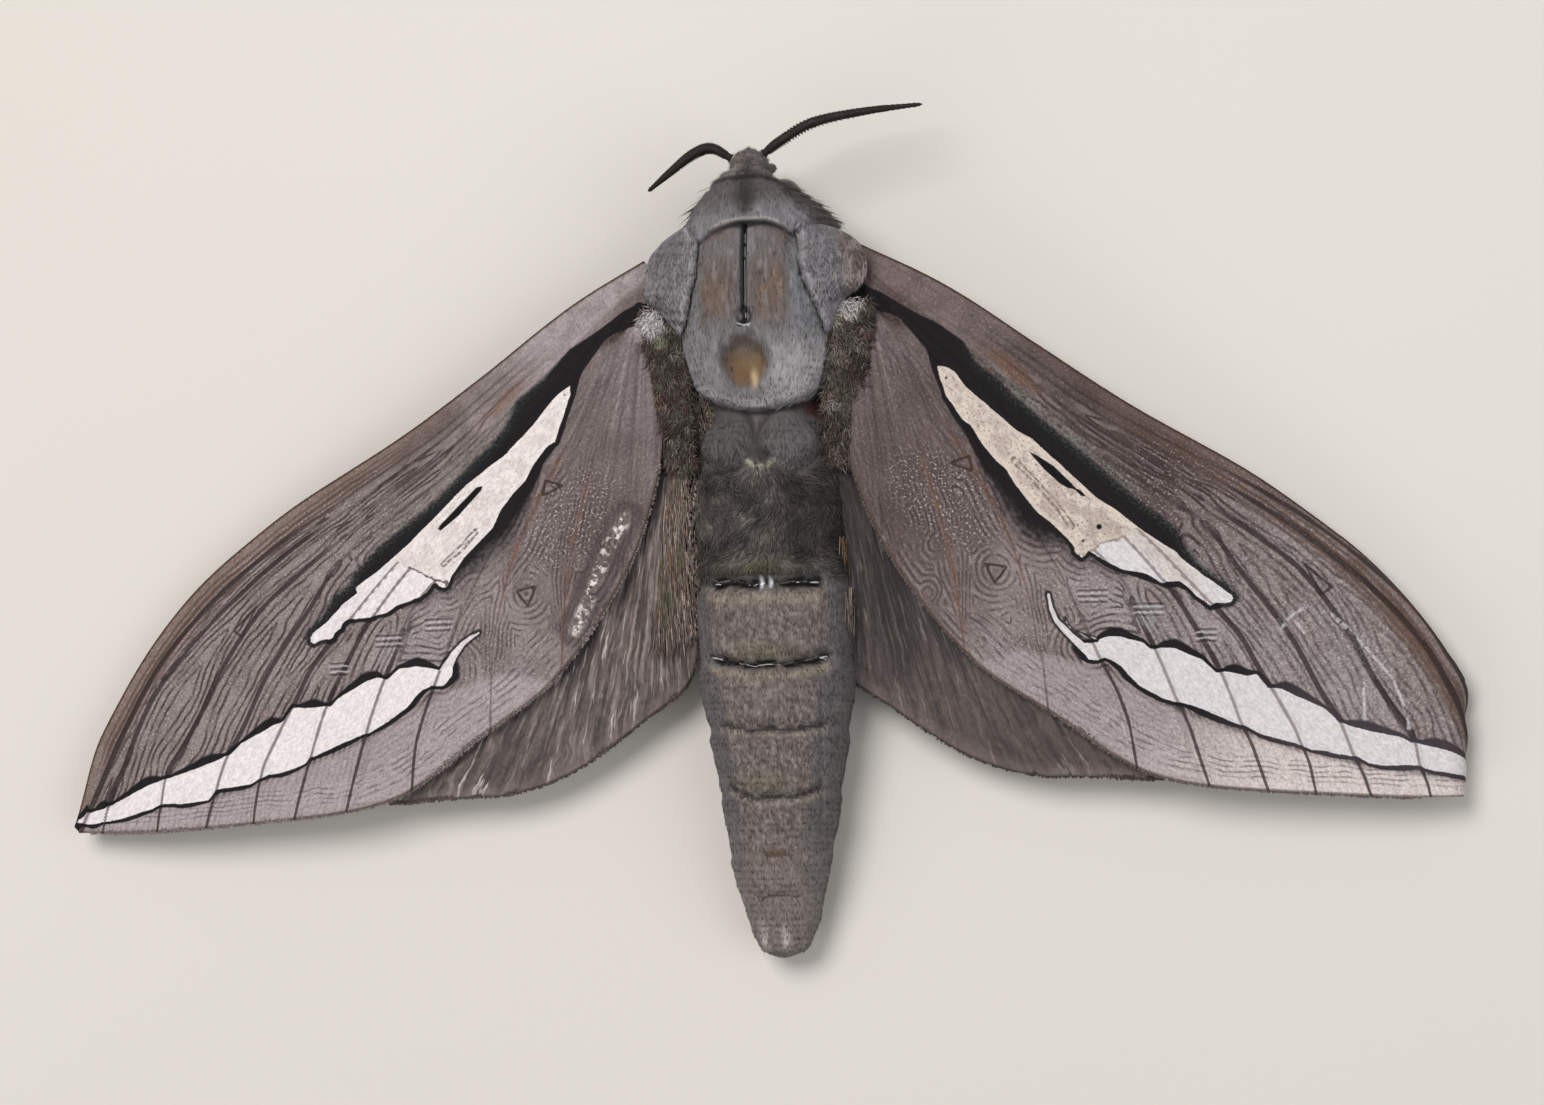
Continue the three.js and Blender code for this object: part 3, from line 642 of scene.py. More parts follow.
FLOAT, VECTOR = "NodeSocketFloat", "NodeSocketVector"


@made_once
def grain_group():
    """Scale grain: small overlapping cells, each a little lighter or darker, on a place in millimetres."""
    n, given, made = new_group("Scale grain", {"Place": (VECTOR, (0, 0, 0)), "Size": (FLOAT, 0.14),
                                               "Stretch": (FLOAT, 2.0)}, {"Light": FLOAT, "Height": FLOAT})
    x, y, z = n.parts(given["Place"])
    size = given["Size"]
    cell_place = n.place(n.ratio(n.ratio(x, size), given["Stretch"]), n.ratio(y, size), n.ratio(z, size))
    cells = n.add("TexVoronoi", {"Vector": cell_place, "Scale": 1.0})
    red = n.add("SeparateColor", {"Color": cells.outputs["Color"]}).outputs[0]
    patches = n.noise(cell_place, 0.35, 3.0, 0.6)
    light = n.plus(n.product(red, 0.62), n.product(patches, 0.76))
    n.feed(made["Light"], n.less(light, 0.19))
    n.feed(made["Height"], n.less(n.product(red, 0.5), cells.outputs["Distance"]))
    return n.tree


@made_once
def fibre_group():
    """Fine fibres along x: stretched noise whose value swings from 0 to 1 across them."""
    n, given, made = new_group("Fine fibres", {"Place": (VECTOR, (0, 0, 0)), "Across": (FLOAT, 6.0),
                                               "Along": (FLOAT, 0.5)}, {"Value": FLOAT})
    x, y, z = n.parts(given["Place"])
    place = n.place(n.product(x, given["Along"]), n.product(y, given["Across"]),
                    n.product(z, given["Across"]))
    wander = n.noise(n.place(n.product(x, 0.4), n.product(y, 0.4), z), 1.0, 2.0)
    bent = n.place(n.parts(place)[0], n.plus(n.parts(place)[1], n.product(wander, 2.0)), n.parts(place)[2])
    n.feed(made["Value"], n.band(n.noise(bent, 1.0, 3.0, 0.62), 0.3, 0.7))
    return n.tree


def material(name):
    made = bpy.data.materials.new(name + "_finish")
    made.use_nodes = True
    made.node_tree.nodes.clear()
    n = Nodes(made.node_tree)
    shader = n.add("BsdfPrincipled")
    n.feed(n.add("OutputMaterial").inputs["Surface"], shader.outputs[0])
    return made, n, shader


def surface(n, shader, colour, roughness, height=None, strength=0.4, distance=0.05 * MM):
    n.feed(shader.inputs["Base Color"], colour)
    n.feed(shader.inputs["Roughness"], roughness)
    if height is not None:
        bump = n.add("Bump", {"Height": height, "Strength": strength, "Distance": distance})
        n.feed(shader.inputs["Normal"], bump.outputs[0])


# ---- the wings' shape ---------------------------------------------------------------------
def wing_places(u, v, side, drop):
    """Where the wing's middle surface lies, in the moth's frame."""
    u, v = np.asarray(u, float), np.asarray(v, float)
    along, back, fall = u.copy(), v.copy(), np.full(u.shape, float(drop))
    past = (u - CURL_START[0]) * CURL_ALONG[0] + (v - CURL_START[1]) * CURL_ALONG[1]
    if side > 0:
        past = np.maximum(past, 0)
        bend = np.minimum(past / CURL_RADIUS, CURL_TURN)
        rest = past - bend * CURL_RADIUS
        advance = CURL_RADIUS * np.sin(bend) + rest * np.cos(bend)
        along -= (past - advance) * CURL_ALONG[0]
        back -= (past - advance) * CURL_ALONG[1]
        fall += CURL_RADIUS * (1 - np.cos(bend)) + rest * np.sin(bend)
    x = WING_ROOT[0] + along * math.cos(WING_AXIS) - back * math.sin(WING_AXIS)
    y = WING_ROOT[1] - along * math.sin(WING_AXIS) - back * math.cos(WING_AXIS)
    z = WING_ROOT[2] - along * WING_DROOP - WING_CAMBER * (back - WING_CROWN) ** 2 - fall
    if side < 0:
        dx, dy = x - TURN_CENTRE[0], y - TURN_CENTRE[1]
        c, s = math.cos(LEFT_TURN), math.sin(LEFT_TURN)
        x = -(TURN_CENTRE[0] + LEFT_SHIFT[0] + dx * c + dy * s)
        y = TURN_CENTRE[1] + LEFT_SHIFT[1] - dx * s + dy * c
    return np.stack([x, y, z], axis=-1)


def forewing_front(u, side):
    moved = eased(u, 8, 44) * (1 - eased(u, FOREWING_SPAN[1] - 6, FOREWING_SPAN[1]))
    return through(FOREWING_FRONT, u) + side * COSTA_SPREAD * moved


def forewing_rear(u):
    return through(FOREWING_REAR, u)


def hindwing_front(u):
    return through(HINDWING_FRONT, u)


def hindwing_rear(u):
    return through(HINDWING_REAR, u)


def vein_lines(u):
    """Each vein's place behind the long axis, at u, one row per vein."""
    rows = []
    for vein in VEINS:
        (u1, v1), (u2, v2) = vein[-2:]
        far = (VEIN_REACH, v2 + (v2 - v1) / (u2 - u1) * (VEIN_REACH - u2))
        line = through(vein + [far], u)
        rows.append(line if not rows else np.maximum(line, rows[-1] + 0.1))
    return np.array(rows)


def vein_numbers(u, v, front, rear):
    """How many veins lie in front of a point, with the part of the way to the next, and that way's length."""
    lines = np.vstack([front[None], vein_lines(u), np.maximum(rear, vein_lines(u)[-1] + 0.1)[None]])
    number, gap = np.zeros(len(u)), np.ones(len(u))
    for first, second in zip(lines, lines[1:]):
        width = np.maximum(second - first, 0.05)
        number += np.clip((v - first) / width, 0, 1)
        gap = np.where((v >= first) & (v < second), width, gap)
    return number, gap


def vein_distance(number, gap):
    """Millimetres to the nearest vein, from the vein number and the gap there."""
    return (0.5 - np.abs(number - np.floor(number) - 0.5)) * gap


def contour_depth(u, v, number, gap, features):
    """Long loops between the outer veins, echoes of the features elsewhere, as a distance in millimetres."""
    from_vein = vein_distance(number, gap)
    skew = number * 0.6 + 0.4 * ripple(u, v, 3.0, 12)
    loops = 1.05 * from_vein + 0.55 * ripple(u * 0.24 + skew, number * 2.2, 1.0, 7)
    loops += 0.16 * ripple(u * 0.7 + skew, number * 3.1, 1.0, 8) + 0.07 * ripple(u, v, 0.7, 6)
    rings = np.full(u.shape, FAR)
    for centre_u, centre_v, reach in CONTOUR_CENTRES:
        rings = np.minimum(rings, np.hypot((u - centre_u) / reach, v - centre_v))
    beside = np.minimum(np.minimum(features, rings), from_vein + 1.2 * eased(u, 20, 24))
    beside += 0.26 * ripple(u, v, 1.8, 5) + 0.05 * ripple(u, v, 0.6, 6)
    ahead = np.maximum((number < 7.1) * eased(u, 29, 31), number < 4.0)
    return loops * 0.70 * ahead + beside * (1 - ahead)


def steepness(values, u, v, columns):
    """How much the values change over a millimetre of the wing."""
    value, along, back = (part.reshape(-1, columns + 1) for part in (values, u, v))
    value_down, value_across = np.gradient(value)
    back_down, back_across = np.gradient(back)
    by_back = value_down / np.maximum(back_down, 1e-3)
    by_along = (value_across - by_back * back_across) / np.gradient(along, axis=1)
    return np.hypot(by_back, by_along).ravel()


def wing_grid(name, span, columns, rows, front, rear):
    """A grid over the wing's outline, and the wing coordinates of its points."""
    piece = primitive(bpy.ops.mesh.primitive_grid_add, name, x_subdivisions=columns, y_subdivisions=rows,
                      size=2)
    at = places_of(piece.data)
    s, t = (at[:, 0] + 1) / 2, (at[:, 1] + 1) / 2
    u = span[0] + (span[1] - span[0]) * s
    front_edge, rear_edge = front(u), rear(u)
    return piece, u, front_edge + (rear_edge - front_edge) * t, front_edge, rear_edge


def shape_wing(piece, u, v, side, drop, relief, edge_distance):
    """Puts the grid on the wing's surface, raises its relief and gives it its thickness."""
    mesh = piece.data
    move_to(piece, to_model(wing_places(u, v, side, drop)))
    lit = np.empty(len(mesh.polygons) * 3, np.float32)
    mesh.polygons.foreach_get("normal", lit)
    if lit.reshape(-1, 3)[:, 2].mean() < 0:
        mesh.flip_normals()
    normals = places_of(mesh, "normal")
    move_to(piece, places_of(mesh) + normals * (relief * MM)[:, None])
    group = piece.vertex_groups.new(name="thickness")
    weights = 0.3 + 0.7 * eased(edge_distance, 0.0, 1.3)
    levels = np.round(weights * 20).astype(int)
    for level in np.unique(levels):
        group.add(np.flatnonzero(levels == level).tolist(), float(level / 20), "REPLACE")
    only(piece)
    plate = piece.modifiers.new("plate", "SOLIDIFY")
    plate.thickness = sizes().wing_thickness
    plate.offset = 0.0
    plate.vertex_group = "thickness"
    plate.material_offset = 1
    bpy.ops.object.modifier_apply(modifier="plate")
    bpy.ops.object.shade_smooth()


def forewing_piece(side_name, side):
    columns, rows = ((300, 112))
    piece, u, v, front, rear = wing_grid(f"forewing_skin_{side_name}", FOREWING_SPAN, columns, rows,
                                         lambda at: forewing_front(at, side), forewing_rear)
    margin = depth_inside(TERMEN_BAND, u, v)
    number, gap = vein_numbers(u - 0.4 * (side > 0) * eased(margin, -1, 1), v, front, rear)
    from_vein = vein_distance(number, gap)
    costa, edge = v - front, (rear - v) * 0.82
    band = depth_inside(DARK_BAND[side], u, v)
    wander = 0.03 * ripple(u, v, 0.6, 11)
    inner, outer = depth_inside(INNER_STREAK[side], u, v), depth_inside(OUTER_STREAK[side], u, v)
    slot = depth_inside(SLOT[side], u, v)
    for spot_u, spot_v, reach in SPOTS[side]:
        slot = np.maximum(slot, reach - np.hypot(u - spot_u, v - spot_v))
    fold = ripple(np.arctan2(v + 3.5, u + 1) * 26, np.hypot(u, v) * 0.12, 1.0, 3)
    relief = ((0.08 + 0.08 * eased(u, 26, 34)) * bump(from_vein, 0.17) * (number > 0.6)
              - 0.10 * eased(band, 0, 0.8) + 0.07 * eased(inner, 0, 0.5) + 0.05 * eased(outer, 0, 0.5)
              + 0.16 * fold * (1 - eased(u, 9, 16)) * eased(v, -0.5, 1.5) + 0.16 * bump(costa, 0.35)
              + 0.08 * ripple(u, v, 5.0, 4))
    features = np.minimum(np.minimum(-np.maximum(inner, band), -outer), edge + 0.3)
    glyph = np.full(u.shape, -FAR)
    for triangle in TRIANGLES:
        glyph = np.maximum(glyph, depth_inside(triangle, u, v))
    line, tip, taper = HOOKS[side]
    hook = from_line(line, u, v) - tip - taper * np.clip(u - line[-1][0], 0, 4)
    second = from_line(SECOND_HOOK, u, v) + (FAR if side < 0 else 0.0)
    crease = from_line(FOLD, u, v) + (FAR if side > 0 else 0.0)
    relief += 0.16 * bump(crease, 0.35) - 0.12 * bump(crease - 0.8, 0.3)
    mesh = piece.data
    write_field(mesh, "place", np.c_[u, v, number], "FLOAT_VECTOR")
    write_field(mesh, "white", np.c_[inner + wander, outer + wander, slot], "FLOAT_VECTOR")
    write_field(mesh, "hooks", np.c_[hook + wander, second + wander, from_line(SEAMS[side], u, v)],
                "FLOAT_VECTOR")
    write_field(mesh, "dark", np.c_[band, margin, crease], "FLOAT_VECTOR")
    contour = contour_depth(u, v, number, gap, features)
    write_field(mesh, "drawn", np.c_[contour, glyph, gap], "FLOAT_VECTOR")
    scratch = np.full(u.shape, FAR)
    for line in SCRATCHES[side]:
        scratch = np.minimum(scratch, from_line(line, u, v))
    write_field(mesh, "fine", np.c_[steepness(contour, u, v, columns), scratch, u * 0], "FLOAT_VECTOR")
    write_field(mesh, "rim", np.c_[costa, edge, np.full(u.shape, side)], "FLOAT_VECTOR")
    mesh.materials.append(forewing_material())
    mesh.materials.append(underside_material())
    shape_wing(piece, u, v, side, 0.0, relief, np.minimum(costa, edge))
    finish_piece(piece, (f"forewing_{side_name}",))
    return piece


def hindwing_fan(u, v):
    """The hindwing's own directions: how far round its root a point lies, and how far out."""
    du, dv = u - FAN_CENTRE[0], v - FAN_CENTRE[1]
    return np.arctan2(dv, du), np.hypot(du, dv)


def hindwing_piece(side_name, side):
    columns, rows = ((190, 110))
    piece, u, v, front, rear = wing_grid(f"hindwing_skin_{side_name}", HINDWING_SPAN, columns, rows,
                                         hindwing_front, hindwing_rear)
    turn, reach = hindwing_fan(u, v)
    edge = (rear - v) * 0.75
    spread = turn * 13.0 + 0.2 + 0.35 * ripple(turn * 13.0, turn * 0, 1.0, 14)
    veins = np.abs(spread % 1.0 - 0.5) / 13.0 * reach
    relief = (0.08 * bump(veins, 0.16) + 0.20 * ripple(turn * 34, reach * 0.07, 1.0, 8)
              + 0.10 * ripple(u, v, 4.0, 9))
    mesh = piece.data
    write_field(mesh, "place", np.c_[reach, turn * 16, veins], "FLOAT_VECTOR")
    write_field(mesh, "rim", np.c_[v - front, edge, np.full(u.shape, side)], "FLOAT_VECTOR")
    mesh.materials.append(hindwing_material())
    mesh.materials.append(underside_material())
    shape_wing(piece, u, v, side, HINDWING_DROP, relief, np.minimum(v - front, edge))
    finish_piece(piece, (f"hindwing_{side_name}",))
    return piece


# ---- wing finishes ------------------------------------------------------------------------
def stroke(n, distance, half, soft):
    """1 within half of a line, fading to 0 over soft, from the signed distance to it."""
    return n.band(n.absolute(distance), half, half + soft, 1, 0)


def ellipse_mask(n, u, v, centre, reach, soft=0.5):
    """1 at the centre of an ellipse in wing coordinates, 0 outside it."""
    du = n.ratio(n.less(u, centre[0]), reach[0])
    dv = n.ratio(n.less(v, centre[1]), reach[1])
    far = n.math("SQRT", n.plus(n.product(du, du), n.product(dv, dv)))
    return n.band(far, 1 - soft, 1, 1, 0)


@made_once
def forewing_material():
    """The forewing from above: grey scales with black and white markings."""
    made, n, shader = material("forewing")
    c = colours()
    u, v, number = n.parts(n.field("place"))
    inner, outer, slot = n.parts(n.field("white"))
    band, margin, crease = n.parts(n.field("dark"))
    contour, glyph, gap = n.parts(n.field("drawn"))
    costa, edge, side = n.parts(n.field("rim"))
    hook, second, seam = n.parts(n.field("hooks"))
    steep, scratch, _ = n.parts(n.field("fine"))
    flat = n.place(u, v, n.product(side, 3.0))
    grain = n.group(grain_group(), Place=flat, Size=0.13, Stretch=1.7)
    fine = n.noise(flat, 5.0, 3.0, 0.7)
    soft = n.noise(flat, 0.35, 3.0)
    patchy = n.noise(flat, 0.9, 3.0)
    granule = n.noise(flat, 6.0, 1.5)
    right = n.band(side, -0.2, 0.2)

    # ground: paler at the root, lilac-grey along the outer edge
    n.colour = n.mix(n.band(soft, 0.35, 0.65), c.ground, shade(108, 96, 94))
    root = n.band(u, 8, 18, 1, 0)
    ahead = n.band(n.less(v, n.product(u, -0.02)), -2.3, -1.7, 1, 0)
    n.lay(shade(158, 149, 149), root, ahead, n.band(patchy, 0.35, 0.6, 0.55, 0.95))
    n.lay(shade(142, 133, 135), n.band(u, 5, 14, 1, 0), n.band(v, -0.4, 0.6), 0.65)
    n.lay(c.margin, n.band(margin, -0.2, 0.5, 0, 0.9))
    n.lay(shade(168, 158, 160), stroke(n, n.less(edge, 1.3), 0.7, 0.5), n.band(u, 22, 30), 0.35)
    # painted shade and painted light along the folds near the root: darker and paler stripes
    turn = n.math("ARCTAN2", n.plus(v, 3.5), n.plus(u, 1.0))
    fold_shading = n.noise(n.place(n.product(turn, 30.0), n.product(u, 0.05)), 1.0, 2.0)
    folded = n.product(n.band(u, 9, 17, 1, 0), n.band(v, -0.8, 0.6))
    n.lay(shade(92, 83, 84), folded, n.band(fold_shading, 0.44, 0.34), 0.55)
    n.lay(shade(172, 163, 164), folded, n.band(fold_shading, 0.58, 0.66), 0.5)

    # the right wing is darker towards its root and along its front edge
    front_part = n.band(n.less(v, n.product(u, 0.03)), -1.9, -1.4, 1, 0)
    inner_tone = n.rest(n.between(right, n.band(u, 17, 24, 0.33, 0), n.band(u, 15, 27, 0.51, 0)))
    left_front = n.plus(n.band(u, 24, 46, 0.12, 0),
                        n.product(ellipse_mask(n, u, v, (21, -5.5), (6, 2.2), 0.8), 0.20))
    front_tone = n.rest(n.between(right, left_front, n.band(u, 24, 42, 0.58, 0)))
    tone = n.between(front_part, inner_tone, front_tone)
    green = n.less(tone, n.product(n.rest(tone), 0.10))
    blue = n.less(tone, n.product(n.rest(tone), 0.12))
    warm = n.add("CombineColor", {"Red": tone, "Green": green, "Blue": blue}).outputs[0]
    n.colour = n.mix(1.0, n.colour, warm, "MULTIPLY")

    # paler clouds outside the first streak, and the right wing's coarse mottling and pale outer edge
    n.lay(shade(156, 145, 146), ellipse_mask(n, u, v, (31, 5), (7.5, 3.2), 0.8), 0.45)
    n.lay(shade(150, 140, 143), right, ellipse_mask(n, u, v, (38, 1), (8, 3), 0.8), 0.3)
    n.lay(shade(158, 149, 150), right, ellipse_mask(n, u, v, (46, -1), (5, 3), 0.8), 0.4)
    n.lay(shade(134, 123, 123), right, n.band(margin, -0.1, 0.4), n.band(u, 30, 38, 0.45, 0))
    n.lay(shade(198, 186, 182), right, n.band(margin, -0.1, 0.4), n.band(u, 36, 48))
    mottle = n.noise(n.place(u, v, 9.0), 2.6, 3.0, 0.6)
    mottled = n.product(right, n.band(u, 30, 36), n.band(margin, -0.2, 0.2, 0.40, 0.12))
    n.lay(shade(72, 65, 66), mottled, n.band(mottle, 0.49, 0.37))
    n.lay(shade(158, 155, 152), mottled, n.band(mottle, 0.53, 0.65))

    # dark and pale granules, thickest in the inner panel
    speckled = n.plus(n.product(ellipse_mask(n, u, v, (16.6, 6.6), (6.0, 3.6), 0.6), 0.62),
                      n.plus(n.product(n.band(u, 22, 27), n.band(margin, -0.3, 0.2, 0.34, 0.10)), 0.14))
    n.lay(shade(62, 53, 54), n.band(granule, 0.42, 0.33), speckled)
    n.lay(shade(172, 164, 166), n.band(granule, 0.58, 0.68), speckled)

    # contour lines
    spacing = 0.42
    wave = n.fract(n.ratio(contour, spacing))
    to_line = n.product(n.absolute(n.less(wave, 0.5)), spacing)
    to_line = n.ratio(to_line, n.most(steep, 0.3))
    outward = n.most(n.band(u, 28, 31), n.product(n.band(u, 15, 22), n.band(number, 3.6, 4.0, 1, 0)))
    kept = n.most(n.band(patchy, 0.42, 0.56, 0.12, 1),
                  n.product(outward, n.band(patchy, 0.35, 0.55, 0.4, 0.9)))
    kept = n.product(kept, n.band(costa, 1.5, 2.2), n.band(u, 12, 17, 0.35, 1),
                     n.band(margin, -0.2, 0.3, 1, 0.25))
    line_mark = n.band(to_line, n.between(outward, 0.03, 0.05), n.between(outward, 0.09, 0.12), 1, 0)
    faint = n.product(right, n.band(u, 31, 35), n.band(number, 6.6, 7.0, 1, 0))
    n.lay(c.lines, line_mark, kept, n.between(outward, 0.55, n.between(faint, 0.80, 0.50)))
    n.lay(shade(158, 147, 147), n.band(to_line, 0.12, 0.19), kept, 0.26)
    termen = n.plus(edge, n.product(n.noise(flat, 0.4, 2.0), 0.8))
    termen = n.product(n.absolute(n.less(n.fract(n.ratio(termen, 0.36)), 0.5)), 0.36)
    along_edge = n.product(stroke(n, n.less(edge, 1.5), 0.5, 0.5), n.band(u, 13, 22))
    n.lay(shade(84, 74, 76), stroke(n, termen, 0.03, 0.06), along_edge, n.band(patchy, 0.42, 0.56, 0.15, 0.6))

    # stripes along the front edge, and a thin brown line on every edge
    reach = n.band(u, 12, 34, 0.55, 1.0)
    broad = n.between(n.product(n.band(u, 34, 46), n.between(right, 0.5, 1.0)), 1.0, 0.42)
    stripes = None
    for at, half, dark in ((0.72, 0.05, 0.7), (1.18, 0.07, 0.9), (1.62, 0.05, 0.8), (2.0, 0.04, 0.6)):
        off = n.less(n.plus(costa, n.product(n.less(soft, 0.5), 0.5)), n.product(reach, at))
        mark = n.product(stroke(n, n.product(off, broad), half, 0.09), dark)
        stripes = mark if stripes is None else n.most(stripes, mark)
    stripes = n.product(stripes, n.band(u, 17, 27), n.band(u, 53, 57, 1, 0))
    n.lay(n.mix( right, shade(116, 96, 80), shade(96, 80, 74)), n.band(costa, 0.3, 1.2, 0.5, 0),
          n.band(u, 12, 26))
    n.lay(c.costa, stripes)
    n.lay(shade(62, 42, 30), n.band(n.plus(costa, n.product(fine, 0.1)), 0.10, 0.28, 0.95, 0))
    n.lay(shade(84, 66, 56), n.band(edge, 0.08, 0.22, 1, 0), n.band(u, 3, 6), 0.75)

    # veins, two of them rusty, and a rusty patch
    to_vein = n.product(n.less(0.5, n.absolute(n.less(n.fract(number), 0.5))), gap)
    thin = n.between(n.band(u, 27, 34), 1.0, n.between(n.band(margin, -0.2, 0.2), 0.55, 0.8))
    rough_vein = n.less(to_vein, n.product(n.less(fine, 0.5), 0.08))
    vein = n.product(stroke(n, n.product(rough_vein, thin), 0.055, 0.05), n.band(number, 0.5, 0.8))
    rusty = n.product(stroke(n, n.less(number, sum(OCHRE_VEINS) / 2), 0.6, 0.02), n.band(u, 12, 15),
                      n.band(u, 22, 27, 1, 0))
    n.lay(shade(130, 96, 74), rusty, n.band(to_vein, 0.04, 0.28, 1, 0), 0.28)
    rust = n.product(ellipse_mask(n, u, v, (14.0, -3.2), (4.0, 0.9), 0.9), n.band(fine, 0.38, 0.56, 0.1, 1))
    n.lay(c.ochre, rust, 0.58)
    strong = n.most(n.product(n.band(u, 27, 33), 0.88), n.product(n.band(u, 8, 14), 0.45))
    n.lay(shade(42, 32, 32), vein, strong)
    n.lay(c.ochre, rusty, vein, n.band(n.noise(flat, 1.2, 2.0), 0.4, 0.6, 0.05, 0.42))

    # small glyphs: triangles, triple dashes, pale dust on the right wing
    n.lay(c.lines, stroke(n, glyph, 0.05, 0.07), 0.85)
    across = n.plus(n.product(u, math.sin(WING_AXIS)), n.product(v, math.cos(WING_AXIS)))
    sideways = n.less(n.product(u, math.cos(WING_AXIS)), n.product(v, math.sin(WING_AXIS)))
    for at, back, half in DASHES:
        middle = at * math.sin(WING_AXIS) + back * math.cos(WING_AXIS)
        centre = at * math.cos(WING_AXIS) - back * math.sin(WING_AXIS)
        rung = n.absolute(n.less(n.fract(n.ratio(n.less(across, middle + 0.2), 0.4)), 0.5))
        patch = n.product(stroke(n, n.less(across, middle), 0.5, 0.1),
                          stroke(n, n.less(sideways, centre), half, 0.25))
        n.lay(c.lines, patch, n.band(rung, 0.10, 0.22, 1, 0), 0.7)
        n.lay(shade(182, 180, 182), patch, n.band(rung, 0.32, 0.42), 0.55)
    slanted = n.less(v, n.product(n.less(u, 44.5), 0.10))
    dust = n.most(ellipse_mask(n, u, slanted, (44.6, -4.6), (3.6, 0.5), 0.8),
                  n.product(ellipse_mask(n, u, v, (39.6, -2.0), (0.8, 2.0), 0.9), 0.7))
    dust = n.most(dust, n.product(ellipse_mask(n, u, v, (44.2, -3.4), (4.0, 1.6), 0.8), 0.4))
    n.lay(shade(178, 176, 178), dust, right, n.band(fine, 0.42, 0.62), 0.35)
    scratched = n.product(n.band(scratch, 0.06, 0.15, 1, 0), n.band(n.noise(flat, 2.2, 2.0), 0.36, 0.50))
    n.lay(shade(192, 188, 190), scratched, 0.62)
    # a pale patch near the right wing's hook: painted glints
    glint_patch = n.product(ellipse_mask(n, u, v, (32.3, 3.6), (2.6, 1.3), 0.8),
                       n.band(n.noise(flat, 1.6, 3.0), 0.45, 0.62))
    n.lay(shade(154, 154, 154), glint_patch, right, 0.4)
    # along the left wing's crease: painted shade in the trough beside it and painted glints on its ridge
    glints = n.product(n.band(crease, 0.12, 0.55, 1, 0), n.band(n.noise(flat, 1.7, 3.0, 0.6), 0.50, 0.60))
    n.lay(shade(56, 46, 48), stroke(n, n.less(crease, 0.9), 0.2, 0.4), 0.5)
    n.lay(shade(222, 212, 208), glints, 0.85)
    pale_root = n.product(ellipse_mask(n, u, v, (2.9, 1.0), (1.6, 1.5), 0.5),
                          n.band(fine, 0.35, 0.55, 0.6, 1))
    n.lay(shade(186, 178, 180), pale_root, 0.8)
    shell = n.product(ellipse_mask(n, u, v, (4.6, -0.7), (2.4, 0.7), 0.5), n.band(fine, 0.4, 0.55, 0.4, 1))
    n.lay(shade(44, 26, 20), shell, 0.85)

    # black bands: crisp beside the streaks, soft and greenish above, with teal speckles of painted glint in
    # their upper part
    upper = n.band(n.less(v, n.product(u, 0.03)), -1.4, -0.9, 1, 0)
    softness = n.most(n.product(n.band(u, 15, 21), n.band(v, 2.4, 3.6), 1.1),
                      n.product(upper, n.band(u, 7, 16), 0.22))
    softness = n.plus(softness, 0.05)
    ragged = n.less(n.noise(flat, 2.6, 4.0, 0.75), 0.5)
    black = n.band(n.plus(n.ratio(band, softness), n.product(ragged, 2.0)), -1, 1)
    bow = n.absolute(n.math("SINE", n.product(number, math.pi)))
    bowed = n.product(n.band(margin, -0.2, 0.0, 0.42, 0.14), bow, bow)
    width = n.plus(n.band(margin, -0.2, 0.0, 0.26, 0.20), bowed)
    under = n.band(margin, -0.3, 0.3)
    lower = n.product(n.band(n.ratio(n.product(outer, -1.0), width), 0.8, 1.15, 1, 0),
                      n.most(n.rest(under), n.band(to_vein, 0.02, 0.1, 0.5, 1)))
    black = n.most(black, n.most(lower, n.band(n.plus(inner, n.product(fine, 0.16)), -0.30, -0.16)))
    black = n.most(black, n.most(n.band(hook, 0.14, 0.26, 0.9, 0), n.band(second, 0.12, 0.22, 0.8, 0)))
    # teal speckles in the band's upper part: painted glints
    teal_glints = n.product(upper, n.band(u, 9, 15), n.band(n.plus(band, n.product(ragged, 0.5)), 0.1, 0.75, 1, 0),
                     n.band(band, -1.4, -0.8))
    dusty = n.product(upper, n.band(u, 9, 15), n.band(band, -1.0, -0.25), n.band(fine, 0.42, 0.60),
                      n.band(u, 24, 30, 1, 0))
    n.lay(shade(124, 126, 118), dusty, 0.45)
    velvet = n.mix(n.product(grain["Light"], 0.5), c.velvet, shade(24, 20, 24))
    velvet = n.mix(n.product(teal_glints, n.band(granule, 0.42, 0.62), 0.38), velvet, shade(70, 76, 74))
    velvet = n.mix(n.product(right, lower, n.band(u, 38, 46), n.rest(under), 0.7), velvet, shade(66, 56, 62))
    n.lay(velvet, black, 0.985)

